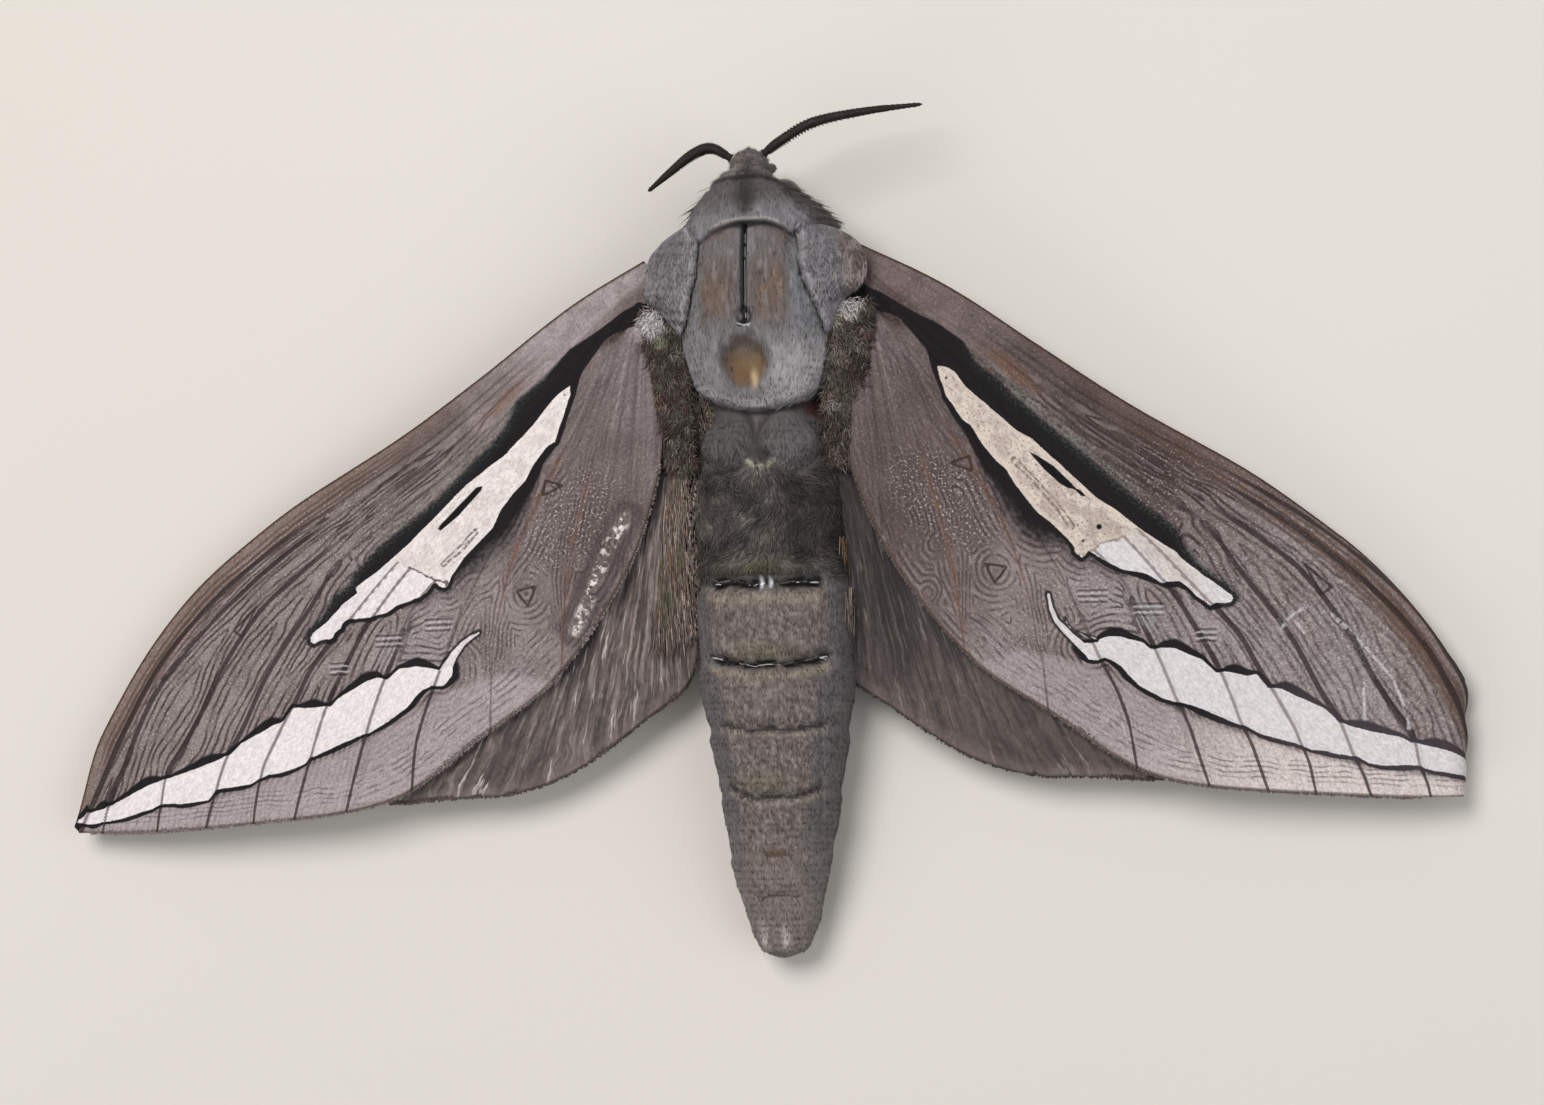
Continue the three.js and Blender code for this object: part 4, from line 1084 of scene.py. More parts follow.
    # white streaks: cream and speckled at the inner end, crossed by the veins
    cut = n.plus(n.product(n.less(u, 26.3), 0.92), n.product(n.less(v, 3.2), 0.39))
    cut = n.plus(cut, n.product(n.less(n.noise(flat, 1.4, 3.0), 0.5), 0.9))
    before = n.product(n.band(cut, 0.05, 0.0), n.band(inner, -0.05, 0.0))
    strip_edge = n.less(v, n.plus(0.5, n.product(n.less(u, 27.7), 0.11)))
    strip = n.product(n.band(strip_edge, -0.06, 0.02, 1, 0), n.band(u, 31.5, 34.5, 0.6, 0),
                      n.band(inner, -0.05, 0.0), right)
    inner_end = n.most(before, strip)
    thread = n.most(n.band(hook, 0.0, 0.06, 1, 0), n.band(second, 0.03, 0.07, 0.6, 0))
    jag = n.product(n.less(fine, 0.5), 0.12)
    white_mask = n.most(n.band(n.plus(inner, jag), -0.03, 0.03), n.band(n.plus(outer, jag), -0.03, 0.03))
    white = n.mix(n.product(n.band(fine, 0.3, 0.7), 0.3), n.mix(right, c.streak, shade(200, 195, 195)),
                  shade(180, 172, 174))
    cream = n.mix(right, shade(212, 203, 200), c.cream)
    cloudy = n.product(n.band(n.noise(flat, 0.9, 3.0, 0.6), 0.42, 0.60), n.band(inner, 0.15, 0.55), n.band(
        side, -0.2, 0.2, 0.35, 1))
    cream = n.mix(n.product(cloudy, 0.8), cream, shade(162, 147, 139))
    cream = n.mix(n.product(n.band(granule, 0.42, 0.34), n.band(inner, 0.1, 0.4),
                            n.band(side, -0.2, 0.2, 0.25, 0.7)), cream, shade(120, 102, 92))
    white = n.mix(inner_end, white, cream)
    jagged = n.product(stroke(n, cut, 0.04, 0.07), n.band(outer, -0.6, -0.4, 1, 0),
                       n.band(strip_edge, -0.1, 0.1))
    white = n.mix(n.product(jagged, n.between(right, 0.9, 0.45)), white, shade(74, 62, 60))
    dotted = n.product(stroke(n, n.less(seam, 0.15), 0.04, 0.06),
                       n.band(n.noise(flat, 3.0, 2.0), 0.36, 0.52))
    white = n.mix(n.product(dotted, 0.8), white, n.mix(right, shade(74, 66, 66), shade(104, 88, 76)))
    crossing = n.product(n.band(to_vein, 0.05, 0.13, 1, 0), n.rest(before))
    white = n.mix(n.product(crossing, 0.8), white, n.mix(right, shade(82, 70, 68), shade(116, 104, 100)))
    white = n.mix(n.band(slot, -0.02, 0.05), white, c.velvet)
    n.lay(n.mix(right, shade(204, 196, 195), shade(196, 189, 188)), thread)
    n.lay(white, white_mask)

    light = n.plus(0.80, n.product(grain["Light"], 0.40))
    rough = n.plus(n.product(n.less(fine, 0.5), 0.75), n.product(n.less(granule, 0.5), 0.45))
    light = n.plus(light, n.product(rough, n.rest(white_mask)))
    n.colour = n.lit(n.colour, light)
    height = n.plus(n.product(grain["Height"], 0.5), n.product(granule, speckled, 2.5))
    height = n.less(height, n.product(line_mark, kept, 0.8))
    surface(n, shader, n.colour, n.band(grain["Light"], 0, 1, 0.68, 0.9), height, 0.45, 0.04 * MM)
    shader.inputs["Specular IOR Level"].default_value = 0.2
    return made


@made_once
def hindwing_material():
    """The hindwing from above: dark brown, with fine pale hair that fans out from its root."""
    made, n, shader = material("hindwing")
    c = colours()
    reach, turn, vein = n.parts(n.field("place"))
    _, edge, side = n.parts(n.field("rim"))
    right = n.band(side, -0.2, 0.2)
    fan = n.place(reach, turn)
    fibres = n.group(fibre_group(), Place=fan, Across=6.0, Along=0.22)["Value"]
    broad = n.group(fibre_group(), Place=fan, Across=1.7, Along=0.14)["Value"]
    strands = n.group(fibre_group(), Place=n.place(n.plus(reach, 40.0), turn), Across=4.0, Along=0.2)["Value"]
    cloud = n.noise(n.place(n.product(reach, 0.5), turn), 1.0, 3.0)
    grain = n.group(grain_group(), Place=n.place(reach, n.product(turn, 0.9)), Size=0.13, Stretch=2.0)

    # ground: the left wing paler near the body, the right one darker; both with painted shadow where they
    # leave the forewing
    near_body = n.band(reach, 18, 29, 1, 0)
    outer = n.mix(right, c.hindwing, shade(76, 65, 62))
    inner = n.mix(right, shade(98, 85, 81), shade(32, 26, 25))
    n.colour = n.mix(near_body, outer, inner)
    # painted shadow of the forewing, near the hindwing's root
    n.lay(shade(50, 41, 39), n.band(reach, 14, 20, 0.80, 0))
    n.lay(n.mix(right, shade(64, 56, 49), shade(40, 32, 30)), n.band(turn, 11.6, 13.4, 0, 0.7))
    n.lay(shade(104, 90, 78), n.band(cloud, 0.56, 0.68, 0, 0.35))

    # painted shade in a fold of the right wing
    fold = n.product(n.band(turn, 9.0, 9.7), n.band(turn, 11.1, 10.5), n.band(reach, 14, 17),
                     n.band(reach, 28, 24))
    n.lay(shade(26, 20, 19), fold, right, 0.75)

    # broad dark and pale streaks, painted shade and light of wrinkles, and hair that fan out
    n.lay(shade(46, 37, 36), n.band(broad, 0.45, 0.15), 0.60)
    n.lay(n.mix( right, shade(150, 136, 131), shade(74, 62, 58)), n.band(broad, 0.60, 0.90), 0.35)
    fading = n.band(reach, 23, 33, 1, 0.4)
    n.lay(shade(40, 32, 31), n.band(fibres, 0.45, 0.10), fading, 0.68)
    n.lay(n.mix(right, shade(156, 143, 139), shade(92, 80, 75)), n.band(fibres, 0.62, 0.92), fading,
          n.between(right, 0.48, 0.36))
    # rare pale streaks near the root: painted glints
    pale = n.product(n.band(strands, 0.86, 0.98), n.band(reach, 13, 17), n.between(right, 0.70, 0.16))
    n.lay(shade(190, 178, 174), pale)
    broken = n.band(n.noise(n.place(n.product(reach, 0.6), n.product(turn, 1.5)), 1.0, 2.0), 0.42, 0.56)
    n.lay(shade(36, 28, 27), n.band(vein, 0.03, 0.12, 0.8, 0), n.band(broken, 0, 1, 0.35, 1))
    n.lay(shade(118, 104, 100), n.band(edge, 0.2, 1.0, 0.35, 0))
    n.lay(shade(62, 50, 46), n.band(edge, 0.05, 0.18, 0.8, 0))
    light = n.plus(0.75, n.product(grain["Light"], 0.5))
    n.colour = n.lit(n.colour, light)
    surface(n, shader, n.colour, n.band(fibres, 0, 1, 0.8, 0.6),
            n.plus(fibres, n.product(grain["Height"], 0.4)), 0.7, 0.08 * MM)
    return made


@made_once
def underside_material():
    """The wings from below: plain brown-grey scales."""
    made, n, shader = material("wing_underside")
    place = n.millimetres()
    grain = n.group(grain_group(), Place=place, Size=0.15, Stretch=1.4)
    soft = n.noise(place, 0.3, 4.0)
    colour = n.mix(n.band(soft, 0.35, 0.65), shade(112, 97, 88), shade(84, 71, 66))
    colour = n.mix(n.product(grain["Light"], 0.5), colour, shade(142, 126, 116))
    surface(n, shader, colour, 0.8, grain["Height"], 0.4, 0.04 * MM)
    return made


# ---- body ---------------------------------------------------------------------------------
def axis_at(y):
    rows = np.array(BODY_AXIS)
    return np.interp(y, rows[:, 0], rows[:, 1]), np.interp(y, rows[:, 0], rows[:, 2])


@made_once
def flesh_tree():
    """The frame's flesh, in the moth's frame, ready for rays."""
    places, faces = [], []
    for name in FLESH:
        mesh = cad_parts[name].data
        start = len(places)
        places.extend(tuple(p) for p in to_moth(places_of(mesh)))
        faces.extend([start + i for i in face.vertices] for face in mesh.polygons)
    return BVHTree.FromPolygons(places, faces)


def body_reach(stations, angles):
    """How far the frame's flesh reaches from the body's axis, for each station and angle, in millimetres."""
    reach = np.full((len(stations), len(angles)), np.nan)
    for i, y in enumerate(stations):
        x, z = axis_at(y)
        for j, angle in enumerate(angles):
            out = Vector((math.cos(angle), 0, math.sin(angle)))
            hit = flesh_tree().ray_cast(Vector((x, y, z)) + out * RAY_LENGTH, -out, RAY_LENGTH)
            if hit[0] is not None:
                reach[i, j] = RAY_LENGTH - hit[3]
    for j in range(len(angles)):
        known = ~np.isnan(reach[:, j])
        reach[:, j] = np.interp(stations, stations[known], reach[known, j])
    return reach


def smoothed(values, around, along):
    """The values with their facets rubbed out: passes around each station and along the body."""
    for _ in range(around):
        values = (np.roll(values, 1, 1) + 2 * values + np.roll(values, -1, 1)) / 4
    for _ in range(along):
        padded = np.vstack([values[:1], values, values[-1:]])
        values = (padded[:-2] + 2 * padded[1:-1] + padded[2:]) / 4
    return values


def collar_edge(x):
    return through(COLLAR_EDGE, x)


def shield_edge(x):
    return SHIELD_REAR + 0.075 * (x - SHIELD_MIDDLE) ** 2


def ring_gap(x, y, gap):
    """How deep a point lies in one gap between rings, 1 in its middle."""
    at, left, right, half, rise, _ = gap
    middle, reach = (left + right) / 2, (right - left) / 2
    away = (x - middle) / reach
    centre = at + rise * away ** 4 + 0.12 * ripple(x, y * 0, 0.9, 21) + 0.05 * ripple(x, y * 0, 0.3, 22)
    ends = 1 - eased(np.abs(away), 0.85, 1.1)
    width = half * (0.7 + 0.5 * (ripple(x, y * 0, 0.7, 23) + 0.4))
    return np.exp(-(((y - centre) / np.maximum(width, 0.05)) ** 2) * 1.4) * ends


def slit_mask(x, y):
    """1 along the middle of the slit, wider at its rear end, 0 beside it."""
    return np.exp(-(((x - SLIT_X) / (0.24 + 0.34 * (1 - eased(y, 0.6, 1.3)))) ** 4))


def body_relief(x, y, up):
    """Height of the body's plates, slit and gaps over the plain shape, in millimetres."""
    back = eased(up, 0.0, 0.45)
    edge = collar_edge(x)
    height = 0.24 * eased(y, edge - 0.08, edge + 0.12) * (1 - eased(y, 9.5, 11.5)) * back
    gap_zone = 1 - eased(np.abs(x - 0.5), 2.4, 3.6)
    height -= 0.40 * bump(y - edge + 0.24, 0.16) * gap_zone * back
    slit = np.exp(-(((x - SLIT_X) / (0.20 + 0.30 * (1 - eased(y, 0.5, 1.2)))) ** 4))
    rear_end = eased(y, SLIT_REAR - 0.1, SLIT_REAR + 0.25)
    front_end = 1 - eased(y, SLIT_FRONT, SLIT_FRONT + 0.2)
    height -= 0.62 * slit * rear_end * front_end * back
    for way in (-1, 1):
        claw = np.hypot((x - SLIT_X - 0.30 * way) / 0.24, (y - 0.42) / 0.42)
        height += 0.25 * (1 - eased(claw, 0.2, 1.1)) * back
    lobes = eased(np.abs(x - SLIT_X), 0.2, 1.2) * (1 - eased(np.abs(x - SLIT_X), 2.5, 3.6))
    height += 0.18 * lobes * eased(y, -1.0, 2.0) * (1 - eased(y, 6.4, 7.0)) * back
    away = oval(x, y, PATCH, PATCH_REACH)
    height -= 0.20 * (1 - eased(away, 0.75, 1.2)) * back
    height += 0.07 * (1 - eased(away, 0.0, 0.9)) * back
    beyond = shield_edge(x)
    height -= 0.62 * eased(-y, -beyond - 0.03, -beyond + 0.2) * (1 - eased(-y, 6.2, 8.6)) * back
    for lobe in LOBES:
        bulge = oval(x, y, lobe, LOBE_REACH)
        height += (0.55 * (1 - eased(bulge, 0.55, 1.08)) - 0.22 * bump(bulge - 1.12, 0.12)) * back
    notch = oval(x, y, NOTCH, NOTCH_REACH)
    height += 0.20 * bump(notch - 1.0, 0.2) * (y < NOTCH[1]) * back
    swirl = eased(-y, 10.0, 11.0) * (1 - eased(-y, 16.2, 17.2))
    height += 0.22 * swirl * ripple(x * 0.8 + 0.7 * ripple(x, y, 2.2, 33), y, 1.5, 34) * back
    for gap in RING_GAPS:
        height -= gap[5] * (0.30 + 0.8 * gap[3]) * ring_gap(x, y, gap) * back
        height += 0.16 * gap[5] * bump(y - gap[0] - 0.55 - gap[3], 0.5) * back
    beads = ripple(x, x * 0, 0.32, 35) * ring_gap(x, y, RING_GAPS[0])
    height += 0.22 * np.maximum(beads, 0) * back
    height -= 0.16 * bump(up + 0.15, 0.14) * eased(-y, 12, 18)
    seam = bump(np.abs(x - 1.0) - 4.15 + 0.05 * (-y - 18), 0.22)
    height -= 0.10 * seam * eased(-y, 18, 20) * (1 - eased(-y, 34, 38)) * back
    for lobe_x in (-0.15, 1.15):
        height += 0.14 * spot(x - lobe_x, y + 42.4, 0.5, 1.1) * back
    height += 0.04 * ripple(x, y, 0.8, 31) + 0.02 * ripple(x, y, 0.35, 32)
    return height


def body_tint(places):
    """Colour of skin and coat at places in the moth's frame: head, collar, thorax, plates and rings."""
    c = colours()
    x, y, z = places.T
    middle_x, middle_z = axis_at(y)
    up = (z - middle_z) / np.maximum(np.hypot(x - middle_x, z - middle_z), 0.1)
    back = eased(up, 0.05, 0.45)
    cloud = ripple(x, y, 0.9, 41)
    streak = ripple(x, y * 0.28, 0.22, 42)
    tint = Tints(c.plate, len(x))
    tint.lay(shade(154, 150, 152), 0.85 * eased(x + 0.35 * cloud, 0.4, 3.4) * eased(-y, -0.5, 3.2) * back)
    tint.lay(shade(132, 126, 128), 0.6 * eased(-x + 0.35 * cloud, 1.0, 3.6) * eased(-y, -0.5, 3.2) * back)
    edge = collar_edge(x)
    behind = eased(edge - y, 0.0, 0.2)

    # thorax: brown lobes beside the slit, blue-grey beside and behind them
    from_slit = x - SLIT_X + 0.12 * cloud
    reach = np.where(from_slit > 0, 3.05, 3.3)
    lobe = eased(np.abs(from_slit), 0.2, 0.6) * (1 - eased(np.abs(from_slit) - reach, -0.5, 0.25)) * behind
    lobe *= eased(y + 0.7 * cloud + 0.25 * np.abs(from_slit), -1.2, 1.8)
    tint.lay(c.lobe, 0.95 * lobe)
    tint.lay(shade(96, 89, 89), 0.75 * lobe * eased(y, 3.2, 5.2))
    tint.lay(shade(88, 70, 63), 0.6 * lobe * eased(y, 5.6, 6.6) * eased(np.abs(from_slit - 0.6), 0.8, 1.4))
    rust = lobe * bump(y - 2.1, 1.8) * eased(np.abs(from_slit), 0.8, 1.4)
    tint.lay(shade(102, 80, 64), 0.80 * rust * (0.6 + 0.4 * eased(cloud, -0.3, 0.4)))
    flecks = rust * eased(ripple(x, y * 0.4, 0.28, 46), 0.25, 0.6) * (x > 0)
    tint.lay(shade(122, 90, 54), 0.3 * flecks)
    tint.lay(shade(150, 149, 152), 0.22 * eased(streak, 0.2, 0.8) * back)
    tint.lay(shade(78, 74, 75), 0.28 * eased(-streak, 0.35, 0.9) * back)
    tint.lay(shade(100, 99, 96), 0.3 * eased(cloud, 0.1, 0.8) * behind)

    # collar: dark middle line, pale rim, brown front and flank
    collar = 1 - behind
    tint.lay(shade(70, 63, 61), 0.85 * collar * eased(y + 0.25 * cloud - 0.3 * (x > 0), 7.2, 9.2))
    stripe = bump(x - 0.25 - 0.2 * ripple(y, y * 0, 0.8, 43), 0.38 + 0.35 * eased(y, 7.6, 9.2))
    tint.lay(shade(44, 38, 35), 0.94 * stripe * eased(y, 7.15, 7.9) * collar)
    tint.lay(shade(24, 21, 18), 0.9 * spot(x - 0.2, y - 9.0, 0.75, 0.7) * collar)
    rim = bump(y - edge - 0.17, 0.13) * (1 - eased(np.abs(x - 0.4), 2.2, 3.2))
    tint.lay(shade(150, 140, 137), 0.8 * rim)
    tint.lay(shade(98, 88, 85), 0.9 * collar * eased(x + 0.95 * (y - 9.2) - 0.2 * cloud, 2.9, 3.9))
    tint.lay(shade(90, 84, 78), 0.7 * collar * eased(-x + 0.9 * (y - 9.2), 3.3, 4.2))
    head = eased(y + 0.3 * cloud, 10.5, 11.3)
    tint.lay(shade(130, 121, 118), head)
    tint.lay(shade(152, 144, 140), head * eased(-x + 0.2 * cloud, 0.2, 1.0))
    tint.lay(shade(74, 65, 65), 0.8 * head * bump(x - 0.15, 0.5) * eased(-y, -12.4, -11.8))
    tint.lay(shade(58, 50, 48), 0.5 * bump(y - 10.6, 0.3) * (np.abs(x) < 1.2))

    # slit with painted glints on its claws, painted shadow under the collar's rear edge, the bare patch with a
    # painted gleam, and the shield's rear edge
    slit = slit_mask(x, y) * (y > SLIT_REAR - 0.3) * (y < SLIT_FRONT + 0.2)
    tint.lay(shade(10, 7, 10), slit * back)
    # painted glints on the claws beside the slit's rear end
    claws = spot(np.abs(x - SLIT_X) - 0.24, y - 0.50, 0.07, 0.28)
    tint.lay(shade(150, 144, 146), 0.7 * claws * back)
    # painted shadow under the collar's rear edge: a black bar in the middle and a dark line along it
    under_collar_shadow = np.exp(-(((y - edge + 0.18) / (0.16 + 0.16 * bump(x - SLIT_X, 0.6))) ** 4))
    tint.lay(shade(12, 9, 10), under_collar_shadow * (1 - eased(np.abs(x - 0.7), 0.9, 2.4)) * back)
    collar_edge_shadow = bump(y - edge + 0.17, 0.17) * (1 - eased(np.abs(x - 0.3), 3.2, 4.0))
    tint.lay(shade(24, 18, 20), 0.92 * collar_edge_shadow * back)
    away = np.hypot((x - PATCH[0]) / 1.75, (y - PATCH[1] - 0.2) / 1.95) + 0.10 * cloud
    halo = np.hypot((x - PATCH[0] + 0.1) / 2.0, (y - PATCH[1] - 0.5) / 2.15)
    halo += 0.12 * ripple(x, y * 0.5, 0.35, 50)
    tint.lay(shade(48, 36, 29), 0.92 * (1 - eased(halo, 0.60, 1.12)) * back)
    amber = 0.20 + 0.80 * (1 - eased(y, PATCH[1] + 0.1, PATCH[1] + 1.4))
    amber *= 0.55 + 0.45 * eased(x, PATCH[0] - 1.15, PATCH[0] - 0.5)
    tint.lay(c.patch, (1 - eased(away, 0.55, 1.02)) * amber * back)
    gleam = spot(x - PATCH[0] - 0.55, y - PATCH[1] + 0.85, 0.22, 0.6)
    tint.lay(shade(190, 166, 124), 0.8 * gleam * back)
    beyond = shield_edge(x)
    tint.lay(shade(92, 84, 83), 0.5 * spot(x - 0.3, y + 5.0, 1.6, 0.5) * back)
    tint.lay(shade(154, 150, 150), 0.6 * bump(y - beyond - 0.35, 0.35) * back)

    # behind the shield: two grey lobes, fuzz, then the rings
    rear = eased(beyond - y, -0.02, 0.1)
    tint.lay(c.fuzz, rear)
    plates = np.zeros(len(x))
    for lobe in LOBES:
        bulge = oval(x, y, lobe, LOBE_REACH)
        plates = np.maximum(plates, 1 - eased(bulge, 0.85, 1.1))
        # painted shade round each lobe's edge
        tint.lay(shade(40, 34, 33), 0.8 * bump(bulge - 1.14, 0.1) * rear * back)
    tint.lay(shade(74, 70, 69), 0.9 * plates * rear * back)
    tint.lay(shade(90, 84, 85), 0.75 * plates * eased(x + ripple(x, y, 1.3, 47), 0.6, 2.4) * rear * back)
    tint.lay(shade(62, 60, 58), 0.6 * plates * eased(-x, 2.4, 3.6) * rear * back)
    notch = oval(x, y, NOTCH, NOTCH_REACH)
    tint.lay(shade(38, 33, 31), 0.8 * (1 - eased(notch, 0.4, 1.0)) * back * rear)
    tint.lay(shade(166, 160, 142), 0.75 * bump(notch - 1.05, 0.15) * (y < NOTCH[1] - 0.3) * back)
    swirl = ripple(x + 0.8 * cloud, y * 0.7, 0.7, 44) * eased(-y, 9.5, 11) * (1 - eased(-y, 16.5, 18))
    tint.lay(shade(116, 106, 100), 0.55 * eased(swirl, 0.1, 0.7))
    tint.lay(shade(36, 31, 31), 0.75 * eased(-swirl, 0.1, 0.7))
    tint.lay(shade(44, 38, 38), 0.7 * eased(x, 1.2, 3.0) * eased(-y, 9.8, 11.5) * (1 - eased(-y, 15.5, 17)))
    # painted shadow under the shield's rear edge
    shield_shadow = bump(y - beyond + 0.18, 0.2)
    tint.lay(shade(14, 10, 10), shield_shadow * back)
    red = spot(x - 4.6, y + 5.6, 0.8, 0.5) + 0.7 * spot(x + 3.9, y + 6.0, 0.6, 0.4)
    tint.lay(shade(84, 22, 16), red * rear)
    rings = eased(-y + 0.12 * cloud, 17.8, 18.1)
    tint.lay(c.ring, rings)
    flank = eased(np.abs(x - middle_x) + 0.13 * np.abs(y + 18) + 0.2 * cloud, 4.0, 4.7) * rings
    tint.lay(shade(78, 74, 76), 0.8 * flank)
    tail = eased(-y, 33, 41)
    tint.lay(shade(110, 101, 97), 0.8 * tail)
    fleck = ripple(x, y, 0.20, 45) * rings * (1 - 0.8 * tail)
    tint.lay(shade(138, 127, 120), 0.55 * eased(fleck, 0.05, 0.6) * back * (1 - 0.7 * flank))
    tint.lay(shade(52, 45, 43), 0.55 * eased(-fleck, 0.2, 0.8) * (1 - 0.7 * flank))
    olive = sum(spot(x - 0.6, y - at, 2.3, 0.6) for at in (-16.6, -22.5, -31.6))
    tint.lay(shade(96, 90, 62), 0.55 * olive * back)
    ochre = spot(x - 1.0, y + 36.5, 0.9, 0.3)
    tint.lay(shade(98, 74, 34), 0.75 * ochre * back)
    for ring in RING_GAPS:
        tint.lay(shade(142, 129, 114), 0.6 * ring[5] * ring_gap(x, y + 1.9 * ring[3], ring) * back)
        tint.lay(shade(12, 9, 9), ring[5] * eased(ring_gap(x, y, ring), 0.25, 0.6) * back)
    # painted glints in the first gap: two pale bars and dots on its beads
    for bar in (0.65, 1.3):
        glint = bump(x - bar, 0.12) * eased(ring_gap(x, y, RING_GAPS[0]), 0.3, 0.6)
        tint.lay(shade(222, 222, 228), 0.85 * glint * back)
    bead_glints = eased(ripple(x, x * 0, 0.26, 49), 0.45, 0.75) * bump(y + 18.05, 0.10)
    tint.lay(shade(186, 182, 182), 0.8 * bead_glints * ring_gap(x, y, RING_GAPS[0]) * back)
    # painted highlights on the tail's two lobes
    tail_highlights = sum(spot(x - at, y + 42.4, 0.28, 0.8) for at in (-0.35, 1.2))
    tint.lay(shade(184, 174, 170), 0.85 * tail_highlights * back)
    tint.lay(shade(84, 76, 68), 0.6 * eased(-y, 42.9, 43.6))
    belly = 1 - eased(up, -0.55, -0.15)
    tint.lay(shade(104, 90, 78), 0.7 * belly)
    return tint.rgb


def body_gloss(x, y, up):
    """Where the body's shell is bare and shines: the slit, the patch and the gaps."""
    back = eased(up, 0.0, 0.4)
    away = oval(x, y, PATCH, PATCH_REACH)
    gloss = 0.45 * (1 - eased(away, 0.75, 1.1))
    gloss = np.maximum(gloss, slit_mask(x, y) * (y > -0.3) * (y < SLIT_FRONT))
    for ring in RING_GAPS[:2]:
        gloss = np.maximum(gloss, eased(ring_gap(x, y, ring), 0.3, 0.7))
    return gloss * back


def body_skin():
    """The skin: a ball drawn out along the body, fitted to the frame's flesh and sunk by the coat's depth."""
    segments, rings = ((230, 390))
    piece = primitive(bpy.ops.mesh.primitive_uv_sphere_add, "body_skin", segments=segments, ring_count=rings,
                      radius=1, rotation=(math.pi / 2, 0, 0))
    at = places_of(piece.data)
    turn = np.arctan2(at[:, 2], at[:, 0])
    part = np.arccos(np.clip(-at[:, 1], -1, 1)) / math.pi       # 0 at the tail, 1 at the head
    length = BODY_FRONT - BODY_REAR
    y = BODY_REAR + length * (part - 0.09 * np.sin(2 * math.pi * part) * 0.9)
    stations = BODY_REAR + length * (0.5 - 0.5 * np.cos(np.linspace(0.012, 0.993, 190) * math.pi))
    stations = np.sort(np.concatenate([stations, np.linspace(BODY_REAR + 0.5, BODY_FRONT - 0.4, 120)]))
    angles = np.linspace(-math.pi, math.pi, 96, endpoint=False)
    reach = smoothed(body_reach(stations, angles), 5, 3)
    row = np.interp(y, stations, np.arange(len(stations)))
    column = (turn + math.pi) / (2 * math.pi) * len(angles)
    i, j = np.clip(row.astype(int), 0, len(stations) - 2), column.astype(int)
    s, t = row - i, column - j
    low = reach[i, j % len(angles)] * (1 - t) + reach[i, (j + 1) % len(angles)] * t
    high = reach[i + 1, j % len(angles)] * (1 - t) + reach[i + 1, (j + 1) % len(angles)] * t
    radius = low * (1 - s) + high * s
    closing = np.sqrt(np.clip((y - BODY_REAR) / 0.5, 0, 1)) * np.sqrt(np.clip((BODY_FRONT - y) / 0.4, 0, 1))
    middle_x, middle_z = axis_at(y)
    x = middle_x + radius * np.cos(turn)
    up = np.sin(turn)
    depth = sizes().coat_depth / MM
    radius = np.maximum(radius - depth + body_relief(x, y, up) * closing, 0.0) * closing
    places = np.stack([middle_x + radius * np.cos(turn), y, middle_z + radius * np.sin(turn)], axis=-1)
    for name in ("eye_left", "eye_right"):
        low_corner, high_corner = (to_moth(np.array(corner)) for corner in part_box(name))
        centre, ball = (low_corner + high_corner) / 2, (high_corner[0] - low_corner[0]) / 2
        out = places - centre
        far = np.linalg.norm(out, axis=1)
        inside = far < ball
        places[inside] = centre + out[inside] / np.maximum(far[inside], 0.01)[:, None] * ball * 0.8
    floor_clear = places[:, 2] < 0.02
    places[floor_clear, 2] = 0.02
    move_to(piece, to_model(places))
    outward(piece)
    bpy.ops.object.shade_smooth()
    clothe(piece.data, body_tint(places), body_gloss(places[:, 0], places[:, 1], up))
    finish_piece(piece, FLESH)
    return piece


@made_once
def skin_material():
    """Scaled skin: the tint with fine fibres, and bare shell where it shines."""
    made, n, shader = material("skin")
    tint = n.field("tint", "Color")
    gloss = n.field("gloss", "Fac")
    place = n.millimetres()
    x, y, z = n.parts(place)
    fibres = n.group(fibre_group(), Place=n.place(y, x, z), Across=5.0, Along=0.8)["Value"]
    grain = n.group(grain_group(), Place=n.place(y, x, z), Size=0.16, Stretch=2.2)
    light = n.plus(0.62, n.plus(n.product(fibres, 0.42), n.product(grain["Light"], 0.36)))
    light = n.plus(n.product(light, n.rest(gloss)), gloss)
    colour = n.lit(tint, light)
    height = n.product(n.plus(fibres, n.product(grain["Height"], 0.6)), n.rest(gloss))
    surface(n, shader, colour, n.band(gloss, 0, 1, 0.78, 0.12), height, 0.55, 0.07 * MM)
    shader.inputs["Sheen Weight"].default_value = 0.08
    return made


def clothe(mesh, tint, gloss):
    """Gives a mesh the skin's finish, with a tint and a gloss for each vertex."""
    write_tint(mesh, tint)
    write_field(mesh, "gloss", gloss, "FLOAT")
    mesh.materials.append(skin_material())


@made_once
def coat_material():
    """Scales and hair: each tuft in its own tint."""
    made, n, shader = material("coat")
    place = n.millimetres()
    fine = n.noise(place, 4.0, 2.0)
    light = n.band(fine, 0.3, 0.7, 0.82, 1.14)
    colour = n.lit(n.field("tint", "Color"), light)
    surface(n, shader, colour, n.band(fine, 0.3, 0.7, 0.55, 0.75))
    shader.inputs["Specular IOR Level"].default_value = 0.4
    return made


